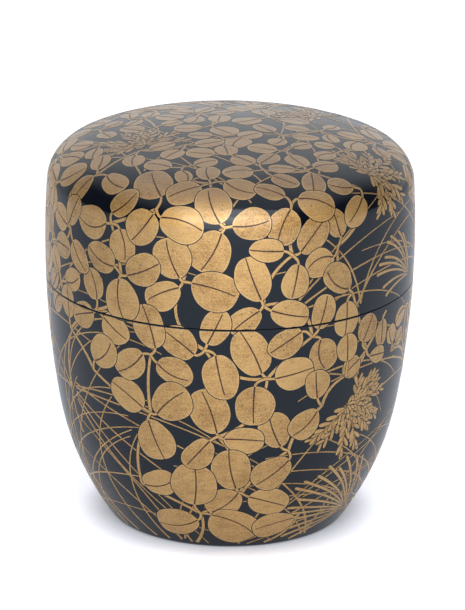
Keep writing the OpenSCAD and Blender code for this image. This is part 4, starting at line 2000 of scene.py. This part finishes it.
# ---- Studio ----
@dataclass(frozen=True)
class Softbox:
    """A softbox in front of the caddy, by its direction in degrees, distance, aim and size in metres."""

    name: str
    elevation: float
    turn: float
    far: float
    aim_h: float
    size: tuple[float, float]
    watts: float
    colour: Colour = (1.0, 0.985, 0.96)

    def build(self) -> None:
        """Sets up the lamp."""
        up, right = math.radians(self.elevation), math.radians(self.turn)
        flat = self.far * math.cos(up)
        place = Vector((flat * math.sin(right), -flat * math.cos(right), 0.04 + self.far * math.sin(up)))
        data = bpy.data.lights.new(self.name, "AREA")
        data.shape, data.size, data.size_y = "RECTANGLE", *self.size
        data.energy, data.color = self.watts, self.colour
        made = put_object(self.name, data)
        made.location = place
        made.rotation_euler = (Vector((0, 0, self.aim_h)) - place).to_track_quat("-Z", "Y").to_euler()


@dataclass
class Studio:
    """Pale floor, soft lamps, pale surround and the camera."""

    camera_out: float = 0.8684
    camera_up: float = 0.3263
    pitch: float = 0.3188
    yaw: float = 0.0007
    roll: float = 0.0124
    lens: float = 292.1
    floor_half: float = 3.0
    floor_low: float = -0.00002
    floor_colour: Colour = (0.72, 0.75, 0.81)
    glow_colour: Colour = (0.90, 0.905, 1.0)
    glow: float = 7.2
    glow_share_in_painted_shade: float = 0.029
    # Painted shade on the floor: its glow is weaker near the caddy, so it shows darker around the base; these
    # steps raise the glow away from the caddy, as squared distances where a step begins and ends, and its
    # share.
    painted_shade_fade_steps: tuple[tuple[float, float, float], ...] = ((0.00047, 0.00084, 0.062), (0.006, 0.12, 0.030))
    surround_colour: Colour = (0.97, 0.985, 1.0)
    surround_low: float = 0.06
    surround_behind: float = 0.83
    surround_high: float = 0.80
    lamps: tuple[Softbox, ...] = (
        Softbox("front_softbox", 41.0, 6.0, 0.85, 0.04, (0.24, 0.50), 0.55),
        Softbox("front_sheet", 34.0, 0.0, 0.95, 0.04, (1.05, 0.70), 4.5),
        Softbox("front_low", 17.0, 0.0, 0.85, 0.035, (0.90, 0.54), 3.9),
    )

    def camera(self) -> None:
        """Sets up the camera."""
        data = bpy.data.cameras.new("camera")
        data.lens, data.sensor_width, data.sensor_fit = self.lens, 36.0, "AUTO"
        flat = math.cos(self.pitch)
        aim = Vector((math.sin(self.yaw) * flat, math.cos(self.yaw) * flat, -math.sin(self.pitch)))
        right = aim.cross(Vector((0, 0, 1))).normalized()
        up = right.cross(aim)
        cos, sin = math.cos(self.roll), math.sin(self.roll)
        right, up = right * cos + up * sin, up * cos - right * sin
        place = Matrix.Translation((0.0, -self.camera_out, self.camera_up))
        made = put_object("camera", data)
        made.matrix_world = place @ Matrix((right, up, -aim)).transposed().to_4x4()
        bpy.context.scene.camera = made

    def floor(self) -> None:
        """A pale floor that shows as white and keeps the caddy's shadow, with painted shade: a weaker glow
        makes it darker near the caddy.
        """
        mesh = bpy.data.meshes.new("floor")
        half = self.floor_half
        corners = [(x * half, y * half, self.floor_low) for x, y in ((-1, -1), (1, -1), (1, 1), (-1, 1))]
        mesh.from_pydata(corners, [], [(0, 1, 2, 3)])
        made = put_object("floor", mesh)
        recipe = Recipe("pale_floor")
        diffuse = recipe.node("ShaderNodeBsdfDiffuse", {}, {"Color": self.floor_colour})
        glow = recipe.node("ShaderNodeEmission", {}, {"Color": self.glow_colour, "Strength": self.glow})
        x, y = recipe.along("X"), recipe.along("Y")
        away = x * x + y * y
        # Painted shade: the camera's share of glow is smallest near the caddy, so the floor there shows
        # darker, and it rises with the squared distance from the axis.
        clear = self.glow_share_in_painted_shade
        for low, high, more in self.painted_shade_fade_steps:
            clear = clear + away.ramp(low, high) * more
        share = recipe.ray("Camera") * clear + recipe.ray("Glossy") * 0.004
        share = share + recipe.ray("Transmission") * 0.10
        inputs = {0: share, 1: diffuse.outputs[0], 2: glow.outputs[0]}
        mesh.materials.append(recipe.finish(recipe.node("ShaderNodeMixShader", {}, inputs)))

    def surround(self) -> None:
        """A pale surround: white where it is seen, and softer as a light."""
        scene = bpy.context.scene
        scene.world = bpy.data.worlds.new("surround")
        scene.world.use_nodes = True
        recipe = Recipe("surround", scene.world.node_tree)
        way = recipe.node("ShaderNodeTexCoord", {}, {}).outputs["Generated"]
        behind = recipe.along("Y", way).ramp(0.22, 0.80)
        high = recipe.along("Z", way).ramp(0.45, 0.92)
        light = self.surround_low + behind * self.surround_behind + (1.0 - behind) * high * self.surround_high
        camera = recipe.ray("Camera")
        strength = camera + (1.0 - camera) * light
        inputs = {"Color": self.surround_colour, "Strength": strength}
        glow = recipe.node("ShaderNodeBackground", {}, inputs)
        recipe.node("ShaderNodeOutputWorld", {}, {"Surface": glow.outputs[0]})

    def build(self) -> None:
        """Sets up the whole studio."""
        self.camera()
        self.floor()
        self.surround()
        for lamp in self.lamps:
            lamp.build()
        bpy.context.scene.view_settings.view_transform = "Standard"
        LOG.info("studio: camera, floor, surround, %d softboxes", len(self.lamps))


def main() -> None:
    """Builds the caddy and its studio in order."""
    logging.basicConfig(level=logging.INFO, format="%(name)s: %(message)s")
    form = CaddyForm.from_frame()
    LOG.info("form: %.2f x %.2f mm, seam at %.2f mm, decoration to s %.1f mm",
             form.outer_r * 2, form.outer_h, form.seam_h, form.foot_s)
    finishes = Finishes()
    film = GoldFilm(form, AutumnField(form).draw_all())
    film.cut_all()
    CaddyBody(form, finishes).build(film)
    CaddyLid(form, finishes).build(film)
    Studio().build()


if __name__ == "__main__":
    main()
